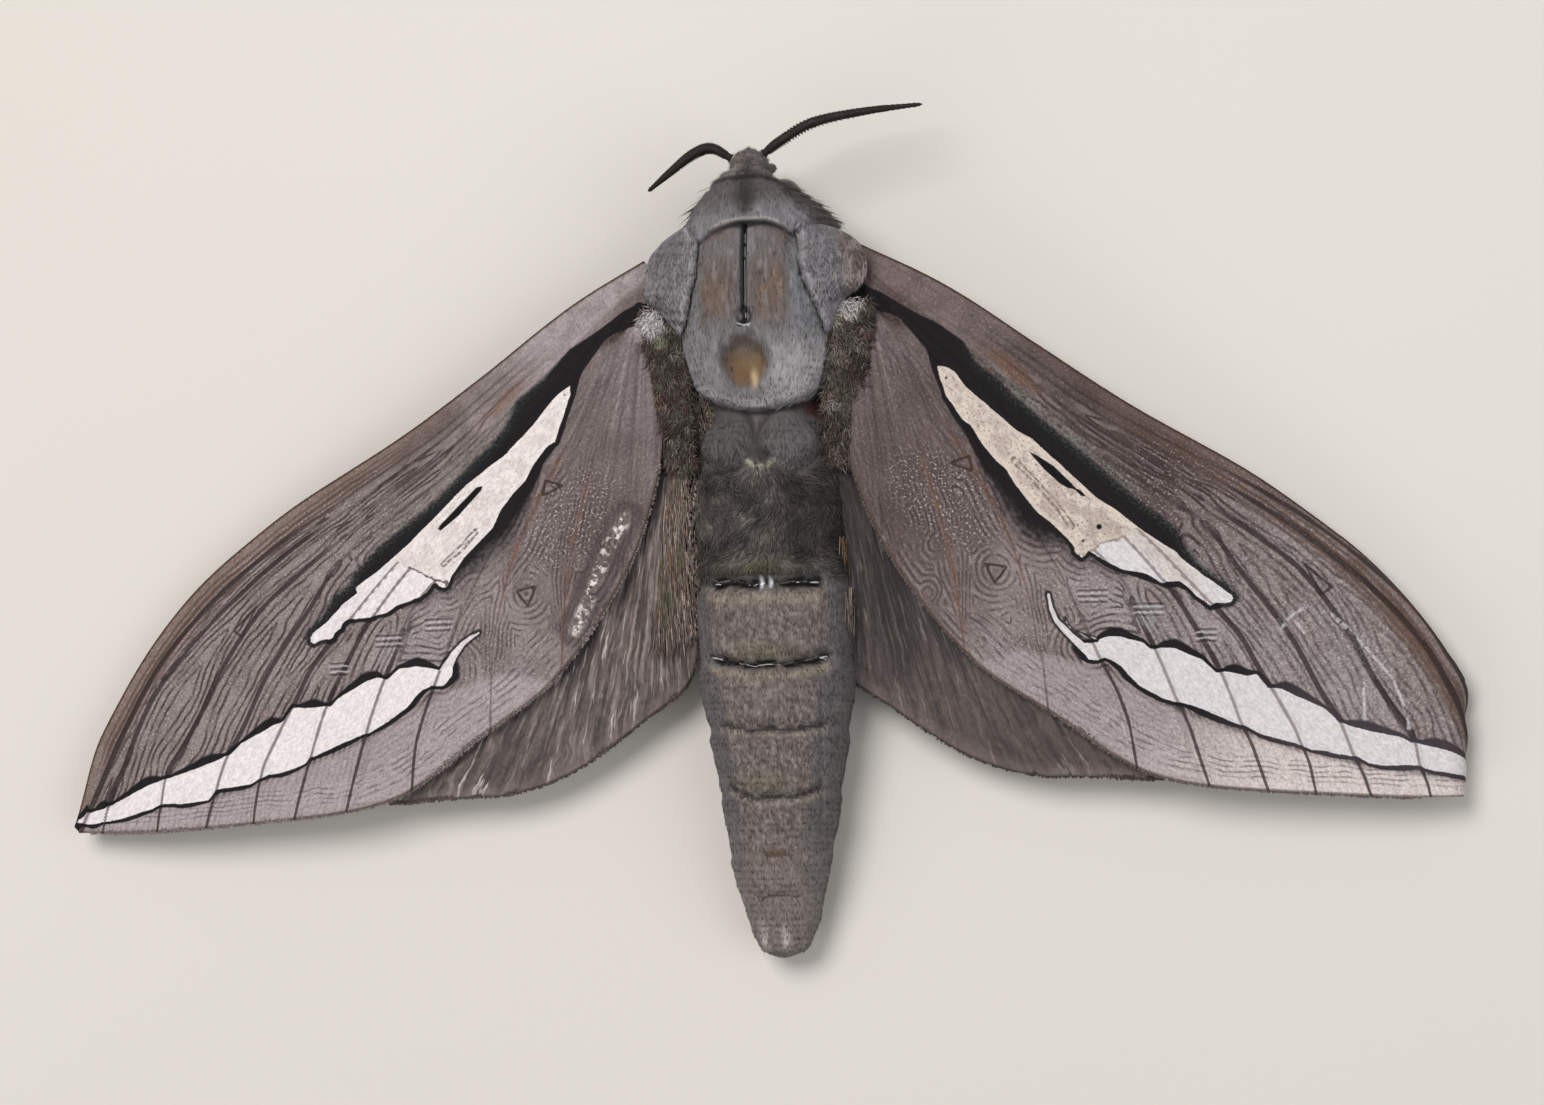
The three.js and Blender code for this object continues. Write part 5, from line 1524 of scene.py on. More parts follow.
@made_once
def chitin_material():
    """Bare shell of feelers, claws and legs: dark brown, ringed and slightly glossy."""
    made, n, shader = material("chitin")
    place = n.millimetres()
    soft, fine = n.noise(place, 1.2, 3.0), n.noise(place, 7.0, 3.0)
    colour = n.mix(n.band(soft, 0.3, 0.7), colours().chitin, shade(32, 20, 17))
    colour = n.mix(n.band(fine, 0.62, 0.74, 0, 0.15), colour, shade(70, 54, 48))
    surface(n, shader, colour, n.band(fine, 0.3, 0.7, 0.45, 0.7), fine, 0.35, 0.04 * MM)
    shader.inputs["Specular IOR Level"].default_value = 0.25
    return made


def eye_material():
    """Compound eye: near black, finely faceted, with a moist gloss."""
    made, n, shader = material("eye")
    place = n.millimetres()
    facets = n.add("TexVoronoi", {"Vector": place, "Scale": 16.0})
    soft = n.noise(place, 1.6, 2.0)
    colour = n.mix(n.band(soft, 0.35, 0.65), colours().eye, shade(58, 40, 30))
    colour = n.mix(n.band(facets.outputs["Distance"], 0.35, 0.6), colour, shade(12, 8, 8))
    height = n.rest(facets.outputs["Distance"])
    surface(n, shader, colour, n.band(soft, 0.3, 0.7, 0.14, 0.24), height, 0.5, 0.02 * MM)
    shader.inputs["Coat Weight"].default_value = 0.5
    shader.inputs["Coat Roughness"].default_value = 0.08
    return made


# ---- tubes: feelers, palps and legs ---------------------------------------------------------
def spline(points, steps):
    """Points along a smooth curve through the given ones, at even parts of each stretch."""
    p = np.array(points, float)
    ends = np.vstack([2 * p[0] - p[1], p, 2 * p[-1] - p[-2]])
    t = np.linspace(0, len(p) - 1, steps)
    i = np.minimum(t.astype(int), len(p) - 2)
    s = (t - i)[:, None]
    a, b, c, d = ends[i], ends[i + 1], ends[i + 2], ends[i + 3]
    return 0.5 * (2 * b + (c - a) * s + (2 * a - 5 * b + 4 * c - d) * s ** 2 + (3 * b - a - 3 * c + d)
                  * s ** 3)


def tube(name, route, radii, sides, floor=0.03):
    """A closed tube along a route: a grid that is rolled up, carried there and closed at its ends."""
    rings = len(route)
    piece = primitive(bpy.ops.mesh.primitive_grid_add, name, x_subdivisions=sides, y_subdivisions=rings - 1,
                      size=2)
    only(piece)
    at = places_of(piece.data)
    angle = (at[:, 0] + 1) * math.pi
    row = np.clip(np.round((at[:, 1] + 1) / 2 * (rings - 1)).astype(int), 0, rings - 1)
    along = unit(np.gradient(route, axis=0))
    across = unit(np.cross(along, (0, 0, 1)))
    rise = np.cross(along, across)
    r = radii[row][:, None]
    places = route[row] + r * (across[row] * np.cos(angle)[:, None] + rise[row] * np.sin(angle)[:, None])
    places[:, 2] = np.maximum(places[:, 2], floor)
    move_to(piece, to_model(places))
    bpy.ops.object.mode_set(mode="EDIT")
    bpy.ops.mesh.select_all(action="SELECT")
    bpy.ops.mesh.remove_doubles(threshold=0.002 * MM)
    bpy.ops.mesh.select_all(action="DESELECT")
    bpy.ops.mesh.select_non_manifold()
    bpy.ops.mesh.edge_face_add()
    bpy.ops.object.mode_set(mode="OBJECT")
    outward(piece)
    bpy.ops.object.shade_smooth()
    return piece


def joined(pieces, name):
    bpy.ops.object.select_all(action="DESELECT")
    for piece in pieces:
        piece.select_set(True)
    bpy.context.view_layer.objects.active = pieces[0]
    if len(pieces) > 1:
        bpy.ops.object.join()
    pieces[0].name = pieces[0].data.name = name
    return pieces[0]


def antenna_piece(side_name):
    """A feeler: a ringed shaft with short comb teeth on both sides under it."""
    route = spline(ANTENNAE[side_name], 130)
    part = np.linspace(0, 1, len(route))
    shaft = 0.27 + 0.11 * np.sin(part * math.pi) - 0.14 * part ** 3
    radii = shaft * (1 - 0.16 * (np.cos(part * 2 * math.pi * 42) > 0.55))
    radii[:3] *= (1.25, 1.3, 1.2)
    radii[-2:] *= (0.6, 0.3)
    pieces = [tube(f"antenna_shaft_{side_name}", route, radii, 10)]
    along = unit(np.gradient(route, axis=0))
    across = unit(np.cross(along, (0, 0, 1)))
    for k in range(3, 42):
        i = int(k / 42 * (len(route) - 1))
        length = 0.34 * math.sin(math.pi * min(1.0, 0.15 + k / 46)) + 0.08
        for way in (-1, 1):
            start = route[i] + across[i] * way * 0.10
            bend = along[i] * 0.22 + np.array((0, 0, -0.20))
            tooth = np.array([start, start + (across[i] * way + bend) * length * 0.6,
                              start + (across[i] * way * 0.8 + bend * 1.5) * length])
            pieces.append(tube(f"tooth_{k}_{way}", spline(tooth, 4), np.array((0.07, 0.06, 0.05, 0.02)), 5))
    piece = joined(pieces, f"antenna_{side_name}_feeler")
    piece.data.materials.append(chitin_material())
    finish_piece(piece, (f"antenna_{side_name}",))
    return piece


LEG_PARTS = (0.0, 0.25, 0.5, 0.75, 1.0)
LEG_RADII = (0.86, 0.68, 0.34, 0.26, 0.17)


def leg_route(place, side, steps=90):
    return spline([(side * x, y, z) for x, y, z in LEGS[place]], steps)


def leg_radius(part):
    """The leg's radius from hip to toe: thigh, shin, and a foot of five joints."""
    base = np.interp(part, LEG_PARTS, LEG_RADII)
    knee = 0.12 * bump(part - 0.27, 0.03)
    foot = np.where(part > 0.55, 0.05 * np.cos((part - 0.55) / 0.45 * 5 * 2 * math.pi), 0)
    return base - 0.10 * bump(part - 0.235, 0.02) + knee + foot


def leg_piece(side_name, side, place):
    """A leg: thigh, shin and jointed foot, with two claws."""
    route = leg_route(place, side)
    part = np.linspace(0, 1, len(route))
    pieces = [tube(f"leg_tube_{place}_{side_name}", route, leg_radius(part), 14)]
    toe = route[-1]
    ahead = unit(route[-1] - route[-4])
    across = unit(np.cross(ahead, (0, 0, 1)))
    for way in (-1, 1):
        middle = toe + ahead * 0.22 + across * way * 0.16 + (0, 0, 0.08)
        tip = toe + ahead * 0.42 + across * way * 0.26 + (0, 0, -0.12)
        claw = spline([toe, middle, tip], 7)
        pieces.append(tube(f"claw_{place}_{way}", claw, np.linspace(0.075, 0.02, 7), 6))
    piece = joined(pieces, f"leg_{place}_{side_name}_limb")
    piece.data.materials.append(chitin_material())
    finish_piece(piece, (f"leg_{place}_{side_name}",))
    return piece


# ---- coat ---------------------------------------------------------------------------------
def grow(name, rng, roots, normals, lies, lengths, widths, rises, droops, tints, patches, sections=2,
         thick=0.3, tip_light=1.12, base_light=0.8, lift=0.0):
    """A coat piece: one thin three-sided blade for each root, bending along its lie.

    Lengths are millimetres. Each blade's width, rise and droop are drawn between two limits.
    """
    count = len(roots)
    if not count:
        raise RuntimeError(f"{name} has no roots")
    widths, rises, droops = (rng.uniform(*limits, count) for limits in (widths, rises, droops))
    rises = rises + lift
    lies = unit(lies - normals * np.sum(lies * normals, axis=1, keepdims=True))
    across = np.cross(lies, normals)
    corners = np.array(((0.5, 0.0), (-0.5, 0.0), (0.0, thick)))
    steps = np.linspace(0, 1, sections + 1)
    blades = np.empty((count, 3 * sections + 1, 3))
    # blades are painted darker at the root and lighter at the tip: painted shade among the roots, painted
    # light on the tips
    root_shade_tip_light = np.empty((count, 3 * sections + 1))
    local = np.empty((3 * sections + 1, 2))
    for k, s in enumerate(steps):
        run, rise = lengths * s, rises - droops * s
        ahead = run * np.sqrt(np.maximum(1 - rise ** 2 * 0.5, 0.1))
        centre = roots + lies * ahead[:, None] + normals * (run * rise)[:, None]
        if k == sections:
            blades[:, -1] = centre
            root_shade_tip_light[:, -1] = tip_light
            local[-1] = (1, 0.5)
            continue
        width = widths * (1 - 0.35 * s ** 2)
        for m, (side, height) in enumerate(corners):
            aside, over = side * width, height * width - 0.02
            blades[:, 3 * k + m] = centre + across * aside[:, None] + normals * over[:, None]
            local[3 * k + m] = (s, 0.5 + side)
        root_shade_tip_light[:, 3 * k:3 * k + 3] = base_light + (tip_light - base_light) * s
    faces = [(0, 2, 1)]
    for k in range(sections - 1):
        for m in range(3):
            a, b = 3 * k + m, 3 * k + (m + 1) % 3
            faces += [(a, b, b + 3), (a, b + 3, a + 3)]
    last = 3 * (sections - 1)
    faces += [(last + m, last + (m + 1) % 3, 3 * sections) for m in range(3)]
    faces = np.array(faces)
    size = 3 * sections + 1
    triangles = (faces[None] + (np.arange(count) * size)[:, None, None]).reshape(-1, 3)
    blades[..., 2] = np.maximum(blades[..., 2], 0.0)
    mesh = mesh_of_triangles(name, to_model(blades.reshape(-1, 3)), triangles)
    write_tint(mesh, np.clip(tints[:, None] * root_shade_tip_light[..., None], 0, 1).reshape(-1, 3))
    patch = (patches[:, None] + 0.003 * (local[None] - 0.5)).reshape(-1, 2)
    layer = mesh.uv_layers.new(name="OFBake")
    layer.data.foreach_set("uv", patch[triangles.ravel()].astype(np.float32).ravel())
    mesh.materials.append(coat_material())
    piece = bpy.data.objects.new(name, mesh)
    bpy.context.scene.collection.objects.link(piece)
    finish_piece(piece)
    return piece


def scattered(piece, density, count, seed):
    """Random roots over a mesh: places and normals in the moth's frame, where density says."""
    mesh = piece.data
    faces = len(mesh.polygons)
    centres, normals, areas = np.empty(faces * 3, np.float32), np.empty(faces * 3, np.float32), np.empty(
        faces, np.float32)
    mesh.polygons.foreach_get("center", centres)
    mesh.polygons.foreach_get("normal", normals)
    mesh.polygons.foreach_get("area", areas)
    first, sides = np.empty(faces, np.int32), np.empty(faces, np.int32)
    mesh.polygons.foreach_get("loop_start", first)
    mesh.polygons.foreach_get("loop_total", sides)
    corner = np.empty(len(mesh.loops), np.int32)
    mesh.loops.foreach_get("vertex_index", corner)
    centres, normals = to_moth(centres.reshape(-1, 3).astype(float)), normals.reshape(-1, 3).astype(float)
    weight = areas * np.clip(density(centres, normals), 0, None)
    rng = np.random.default_rng(seed)
    picked = rng.choice(faces, size=count, p=weight / weight.sum())
    places = to_moth(places_of(mesh))
    a, b, c, d = (places[corner[first[picked] + np.minimum(k, sides[picked] - 1)]] for k in range(4))
    s, t = rng.uniform(0, 1, (2, count, 1))
    return (a * (1 - s) + b * s) * (1 - t) + (d * (1 - s) + c * s) * t, normals[picked], rng


def turned(lies, normals, angles):
    """Directions turned about the normals."""
    across = np.cross(normals, lies)
    return lies * np.cos(angles)[:, None] + across * np.sin(angles)[:, None]


def body_patches(roots):
    """The roots' places on the skin's unwrap: round the body and along it."""
    middle_x, middle_z = axis_at(roots[:, 1])
    turn = np.arctan2(roots[:, 2] - middle_z, roots[:, 0] - middle_x) / (2 * math.pi) + 0.5
    return np.c_[0.02 + 0.96 * turn, 0.02 + 0.96 * (roots[:, 1] - BODY_REAR) / (BODY_FRONT - BODY_REAR)]


def rearward(normals):
    lie = np.tile((0.0, -1.0, 0.0), (len(normals), 1))
    return unit(lie - normals * np.sum(lie * normals, axis=1, keepdims=True) + (0, 0, -0.02))


def clear_of_shell(places):
    """0 on the bare shell of slit, patch and gaps, where no scales grow."""
    x, y, z = places.T
    middle_x, middle_z = axis_at(y)
    up = (z - middle_z) / np.maximum(np.hypot(x - middle_x, z - middle_z), 0.1)
    gloss = body_gloss(x, y, up)
    groove = bump(y - collar_edge(x) + 0.3, 0.3) * (1 - eased(np.abs(x - 0.9), 1.4, 2.8))
    for ring in RING_GAPS:
        groove = np.maximum(groove, ring_gap(x, y - 0.15, ring) * ring[5])
    rim = bump(y - shield_edge(x) + 0.3, 0.28)
    return 1 - eased(np.maximum(np.maximum(gloss, groove), rim), 0.2, 0.5)


def away_from_wings(places):
    """0 where wings and tegulae cover the body's sides."""
    x, y, z = places.T
    return np.where((np.abs(x - 0.3) > 4.6) & (y > -3) & (y < 7) & (z > 4), 0.3, 1.0)


def body_coats(skin):
    """Grows the scales and hair of the body, from the head to the tail."""
    s = sizes()
    length, hair = s.scale_length / MM, s.hair_length / MM

    def coat(name, zone, count, seed, run, width, rise, droop, spread, vary):
        count = count
        roots, normals, rng = scattered(skin, zone, count, s.seed + seed)
        wander = 0.22 * ripple(roots[:, 0], roots[:, 1], 1.4, 51 + seed)
        lies = turned(rearward(normals), normals, rng.normal(0, spread, count) + wander)
        tints = body_tint(roots) * rng.uniform(1 - vary, 1 + vary, count)[:, None]
        lengths = room_behind(roots, run * rng.uniform(0.55, 1.1, count))
        grow(name, rng, roots, normals, lies, lengths, width, rise, droop, tints, body_patches(roots),
             sections=1, thick=0.22, tip_light=1.11, base_light=1.01)

    def thorax_zone(places, normals):
        x, y = places[:, 0], places[:, 1]
        smooth = (y > -5.9) * (y < 11.0)
        for lobe in LOBES:
            smooth = smooth | (oval(x, y, lobe, LOBE_REACH) < 1.0)
        edges = eased(np.abs(x - 0.4), 3.0, 5.0) + eased(shield_edge(x) + 1.2 - y, 0.0, 0.8) + 0.22
        return smooth * clear_of_shell(places) * away_from_wings(places) * edges

    coat("coat_thorax", thorax_zone, 11000, 0, length * 0.9, (0.07, 0.12), (0.04, 0.09),
         (0.0, 0.04), 0.09, 0.05)

    def ring_zone(places, normals):
        y = places[:, 1]
        return (y < -17.4) * (y > -43.6) * clear_of_shell(places) * (0.4 + 0.6 * eased(normals[:, 2], -0.3,
                                                                                       0.3))

    coat("coat_rings", ring_zone, 15000, 1, length * 0.75, (0.07, 0.12), (0.04, 0.12),
         (0.0, 0.08), 0.35, 0.16)

    def fuzz_zone(places, normals):
        x, y = places[:, 0], places[:, 1]
        dense = eased(-y, 9.0, 10.4) + 0.8 * (y < -5.8) * eased(np.abs(x - 0.6), 3.9, 4.8)
        for lobe in LOBES:
            dense = dense * (oval(x, y, lobe, LOBE_REACH) > 1.02)
        return dense * (y > -17.5) * clear_of_shell(places) * (0.3 + eased(normals[:, 2], -0.3, 0.3))

    count = 14500
    roots, normals, rng = scattered(skin, fuzz_zone, count, s.seed + 2)
    turn = 1.5 * ripple(roots[:, 0], roots[:, 1], 1.5, 53) + 0.12 * (roots[:, 0] - 0.8)
    tints = body_tint(roots) * rng.uniform(0.68, 1.35, count)[:, None]
    lies = turned(rearward(normals), normals, rng.normal(0, 0.35, count) + turn)
    lengths = room_behind(roots, hair * rng.uniform(0.35, 0.85, count))
    grow("coat_fuzz", rng, roots, normals, lies, lengths, (0.05, 0.10), (0.06, 0.34), (0.1, 0.4),
         tints, body_patches(roots))

    def head_zone(places, normals):
        x, y, z = places.T
        flank = (y > 6.8) * (y < 10.9) * eased(x - 0.2 + 0.95 * (y - 9.2), 2.5, 3.6) * (z > 3.5)
        return (y > 10.5) * 1.0 + 0.7 * flank

    count = 16000
    roots, normals, rng = scattered(skin, head_zone, count, s.seed + 3)
    lies = unit(np.array((0.0, -0.35, 0.15)) + rng.normal(0, 0.35, (count, 3))
                + 0.9 * (roots - (0, 10.4, 6.5)) / 3)
    tints = body_tint(roots) * rng.uniform(0.7, 1.3, count)[:, None]
    # the hair parts over the brow, and lies out and back at the right temple
    flank = roots[:, 1] < 10.6
    brow = (np.abs(roots[:, 0]) > 0.9) & (roots[:, 2] > 5.2) & (roots[:, 1] < 12.2) & ~flank
    lies = np.where(brow[:, None], unit(lies * 0.4 + np.sign(roots[:, :1]) * (1.0, 0.0, 0.0)), lies)
    temple = (roots[:, 0] > 1.3) & (roots[:, 1] > 9.6) & (roots[:, 1] < 11.9) & (roots[:, 2] > 4.2)
    lies = np.where(temple[:, None], unit(lies * 0.3 + (0.75, -0.65, 0.1)), lies)
    lengths = np.where(temple, 1.35, np.where(flank | brow, 1.0, 0.5)) * rng.uniform(0.45, 1.0, count)
    grow("coat_head", rng, roots, normals, lies, lengths, (0.03, 0.06), (0.05, 0.35), (0.0, 0.3),
         tints, body_patches(roots))

    def under_zone(places, normals):
        y = places[:, 1]
        return (y < 10.5) * (y > -42) * eased(-normals[:, 2], -0.25, 0.2)

    count = 15000
    roots, normals, rng = scattered(skin, under_zone, count, s.seed + 4)
    shaggy = eased(roots[:, 1], -14, -4)
    tints = body_tint(roots) * rng.uniform(0.7, 1.4, count)[:, None]
    lies = turned(rearward(normals), normals, rng.normal(0, 0.3, count))
    lengths = (0.7 + 0.9 * shaggy) * rng.uniform(0.6, 1.1, count)
    grow("coat_underside", rng, roots, normals, lies, lengths, (0.08, 0.15), (0.02, 0.10),
         (0.0, 0.15), tints, body_patches(roots), lift=0.08 * shaggy)


def room_behind(roots, lengths):
    """The lengths cut to what fits in front of the gap, step or slit behind each root."""
    x, y = roots[:, 0], roots[:, 1]
    room = np.full(len(roots), FAR)
    edges = [shield_edge(x) - 0.05, np.where(np.abs(x - 0.4) < 3.4, collar_edge(x) - 0.05, -99),
             np.where(np.abs(x - PATCH[0]) < 1.1, PATCH[1] + 1.55, -99)]
    for at, left, right, half, rise, dark in RING_GAPS:
        away = np.abs((x - (left + right) / 2) / ((right - left) / 2))
        edges.append(np.where(away < 1.05, at + rise * away ** 4 + 0.75 * half * dark, -99))
    for at in edges:
        room = np.where(y > at, np.minimum(room, y - at), room)
    return np.minimum(lengths, np.maximum(room, 0.12))


# ---- tegulae ------------------------------------------------------------------------------
def flesh_height(x, y):
    """The height of the frame's flesh over each x, y of the moth's frame, in millimetres."""
    heights = []
    for at_x, at_y in zip(x, y):
        height = 0.0
        for beside in (0.0, -0.3, 0.3):
            start = Vector((at_x, at_y + beside, RAY_LENGTH))
            hit = flesh_tree().ray_cast(start, Vector((0, 0, -1)), RAY_LENGTH)
            if hit[0] is not None and RAY_LENGTH - hit[3] > 4.0:
                height = RAY_LENGTH - hit[3]
                break
        heights.append(height)
    return np.array(heights)


def tegula_piece(side_name, side):
    """A tegula: a plate from the thorax's flank out over the wing's root, narrow at its rear end."""
    piece = primitive(bpy.ops.mesh.primitive_grid_add, f"tegula_plate_{side_name}", x_subdivisions=34,
                      y_subdivisions=60, size=2)
    at = places_of(piece.data)
    across, along = (at[:, 0] * side + 1) / 2, (1 - at[:, 1]) / 2       # across: inner edge 0; along: front 0
    inner_edge, outer_edge = np.array(TEGULAE[side_name]["inner"]), np.array(TEGULAE[side_name]["outer"])
    edges = []
    for edge in (inner_edge, outer_edge):
        run = np.linspace(0, 1, len(edge))
        edges.append(np.stack([through(list(zip(run, edge[:, k])), along) for k in (0, 1)], axis=-1))
    ragged = 0.05 * ripple(along * 9, across * 0, 0.5, 61) * (1 - across) ** 3
    flat = edges[0] * (1 - across[:, None]) + edges[1] * across[:, None]
    flat[:, 0] += ragged
    inner_height = flesh_height(*edges[0].T) + 0.02
    outer_height = np.interp(along, (0, 0.25, 0.6, 1), TEGULAE[side_name]["heights"])
    lie = across ** 1.25
    z = inner_height * (1 - lie) + outer_height * lie + 0.55 * np.sin(math.pi * across) * np.sin(
        math.pi * np.clip(along, 0.12, 0.93)) ** 0.6
    resting = flesh_height(*flat.T) + 0.10 - 0.16 * (1 - eased(across, 0, 0.12))
    z = np.maximum(z, np.where(across < 0.75, resting, 0))
    z += 0.05 * ripple(flat[:, 0], flat[:, 1] * 0.4, 0.5, 62)
    places = np.column_stack([flat, z])
    move_to(piece, to_model(places))
    up = np.empty(len(piece.data.polygons) * 3, np.float32)
    piece.data.polygons.foreach_get("normal", up)
    if up.reshape(-1, 3)[:, 2].mean() < 0:
        piece.data.flip_normals()
    only(piece)
    plate = piece.modifiers.new("plate", "SOLIDIFY")
    plate.thickness, plate.offset = 0.24 * MM, -1.0
    bpy.ops.object.modifier_apply(modifier="plate")
    bpy.ops.object.shade_smooth()
    places = to_moth(places_of(piece.data))
    clothe(piece.data, tegula_tint(places, side), np.zeros(len(places)))
    finish_piece(piece, (f"tegula_{side_name}",))
    return piece


def tegula_tint(places, side):
    """Grey, streaked plates: a dark inner edge, and a brown knob over the right wing's root."""
    x, y = places[:, 0], places[:, 1]
    edge = TEGULAE["right" if side > 0 else "left"]
    inner = np.interp(-y, *zip(*sorted((-at_y, at_x) for at_x, at_y in edge["inner"])))
    cloud = ripple(x, y, 0.8, 66)
    tint = Tints(shade(115, 112, 115) if side > 0 else shade(116, 112, 115), len(x))
    streak = ripple(x, y * 0.25, 0.25, 63)
    tint.lay(shade(148, 146, 150), 0.25 * eased(streak, 0.2, 0.8))
    tint.lay(shade(92, 88, 88), 0.30 * eased(-streak, 0.35, 0.9))
    near = side * (x - inner) + 0.10 * ripple(y, y * 0, 0.35, 64)
    jagged = eased(ripple(y, y * 0, 0.55, 65) + 0.35, 0.0, 0.3) if side > 0 else 0.45
    tint.lay(shade(22, 18, 18), 0.9 * (1 - eased(near, 0.04, 0.22)) * jagged * eased(-y, -5.9, -5.0))
    tint.lay(shade(160, 156, 160), 0.45 * bump(near - 0.45, 0.16))
    out = side * x + 0.5 * cloud
    if side > 0:
        knob = eased(out, 6.3, 7.0) * eased(y, 2.0, 2.8)
        tint.lay(shade(142, 128, 124), 0.85 * knob)
        tint.lay(shade(74, 58, 52), 0.6 * eased(cloud + 0.5 * ripple(x, y, 0.35, 67), 0.25, 0.6) * knob)
        tint.lay(shade(84, 72, 66), 0.7 * eased(out + 0.7 * (y - 5.5), 7.6, 8.3))
    else:
        tint.lay(shade(134, 127, 130), 0.6 * eased(out, 6.2, 7.2))
    return tint.rgb


def tegula_coat(pieces):
    s = sizes()
    count = 1800
    for (side_name, side), piece in zip(SIDES.items(), pieces):
        roots, normals, rng = scattered(
            piece, lambda places, normals: (normals[:, 2] > 0.15) * 1.0, count, s.seed + 10 + side)
        tints = tegula_tint(roots, side) * rng.uniform(0.93, 1.07, count)[:, None]
        patches = np.c_[0.25 + 0.06 * (roots[:, 0] - side * 5.5) + 0.25 * (side > 0),
                        0.5 + 0.1 * (roots[:, 1] - 3.5)]
        lies = turned(rearward(normals), normals, rng.normal(0, 0.14, count))
        lengths = s.scale_length / MM * rng.uniform(0.6, 1.0, count)
        grow(f"coat_tegula_{side_name}", rng, roots, normals, lies, lengths, (0.09, 0.15),
             (0.02, 0.06), (0.0, 0.05), tints, patches, sections=1, tip_light=1.04, base_light=0.93)
        out = rng.uniform(4.3, 6.9, count)
        below = np.stack([side * out, rng.uniform(1.5, np.interp(out, (4.3, 6.0, 6.9), (6.2, 5.4, 4.6))),
                          rng.uniform(6.3, 7.2, count)], axis=-1)
        lies = unit(rng.normal(0, 0.35, (count, 3)) + (side * 0.3, 0.9, -0.1))
        tints = np.array(shade(92, 84, 80)) * rng.uniform(0.6, 1.3, count)[:, None]
        upright = np.tile((0.0, 0.0, 1.0), (count, 1))
        grow(f"coat_shoulder_{side_name}", rng, below, upright, lies, rng.uniform(0.3, 0.6, count),
             (0.08, 0.15), (-0.1, 0.1), (0.0, 0.3), tints, patches)


# ---- wing coats -----------------------------------------------------------------------------
def wing_roots(u, v, side, drop, lift):
    """Places and normals on the wing at wing coordinates, lift millimetres over its middle surface."""
    step = 0.05
    here = wing_places(u, v, side, drop)
    along = wing_places(u + step, v, side, drop) - here
    back = wing_places(u, v + step, side, drop) - here
    normals = unit(np.cross(along, back)) * side
    normals *= np.where(normals[:, 2:] < 0, -1, 1) if side < 0 else 1
    return here + normals * lift, normals, unit(along), unit(back)


def wing_patches(u, v, side):
    return np.c_[0.01 + 0.48 * u / FOREWING_SPAN[1] + (0.5 if side > 0 else 0), 0.05 + 0.9 * (v + 11) / 33]


def edge_points(span, edge, count, rng):
    """Random points along a wing's edge, with the edge's direction."""
    u = rng.uniform(*span, count)
    step = 0.1
    slope = (edge(u + step) - edge(u - step)) / (2 * step)
    return u, edge(u), unit(np.stack([np.ones(count), slope], axis=-1))


def fringe(side_name, side):
    """Short scales that stand out from the wings' outer and rear edges."""
    s = sizes()
    rng = np.random.default_rng(s.seed + 20 + side)
    count = 5200
    rows = []
    edges = (((9.0, 58.6 if side < 0 else 54.2), forewing_rear, 0.0, shade(136, 123, 122), 0.62),
             ((6.0, 39.8), hindwing_rear, HINDWING_DROP, shade(92, 80, 76), 0.38),)
    for span, edge, drop, tone, share in edges:
        part = int(count * share)
        u, v, way = edge_points(span, edge, part, rng)
        v = v - rng.uniform(0.0, 0.35, part)
        roots, normals, along, back = wing_roots(u, v, side, drop, 0.0)
        roots = roots + normals * rng.uniform(-0.02, 0.10, part)[:, None]
        out = unit(back * way[:, :1] - along * way[:, 1:])
        tints = np.array(tone) * rng.uniform(0.78, 1.16, part)[:, None]
        rows.append((roots, normals, unit(out + rng.normal(0, 0.18, (part, 3))), tints,
                     wing_patches(u, v, side)))
    roots, normals, lies, tints, patches = (np.concatenate(parts) for parts in zip(*rows))
    lengths = s.fringe_length / MM * rng.uniform(0.5, 1.1, len(roots))
    grow(f"coat_fringe_{side_name}", rng, roots, normals, lies, lengths, (0.09, 0.17),
         (-0.05, 0.10), (0.0, 0.12), tints, patches, thick=0.15)


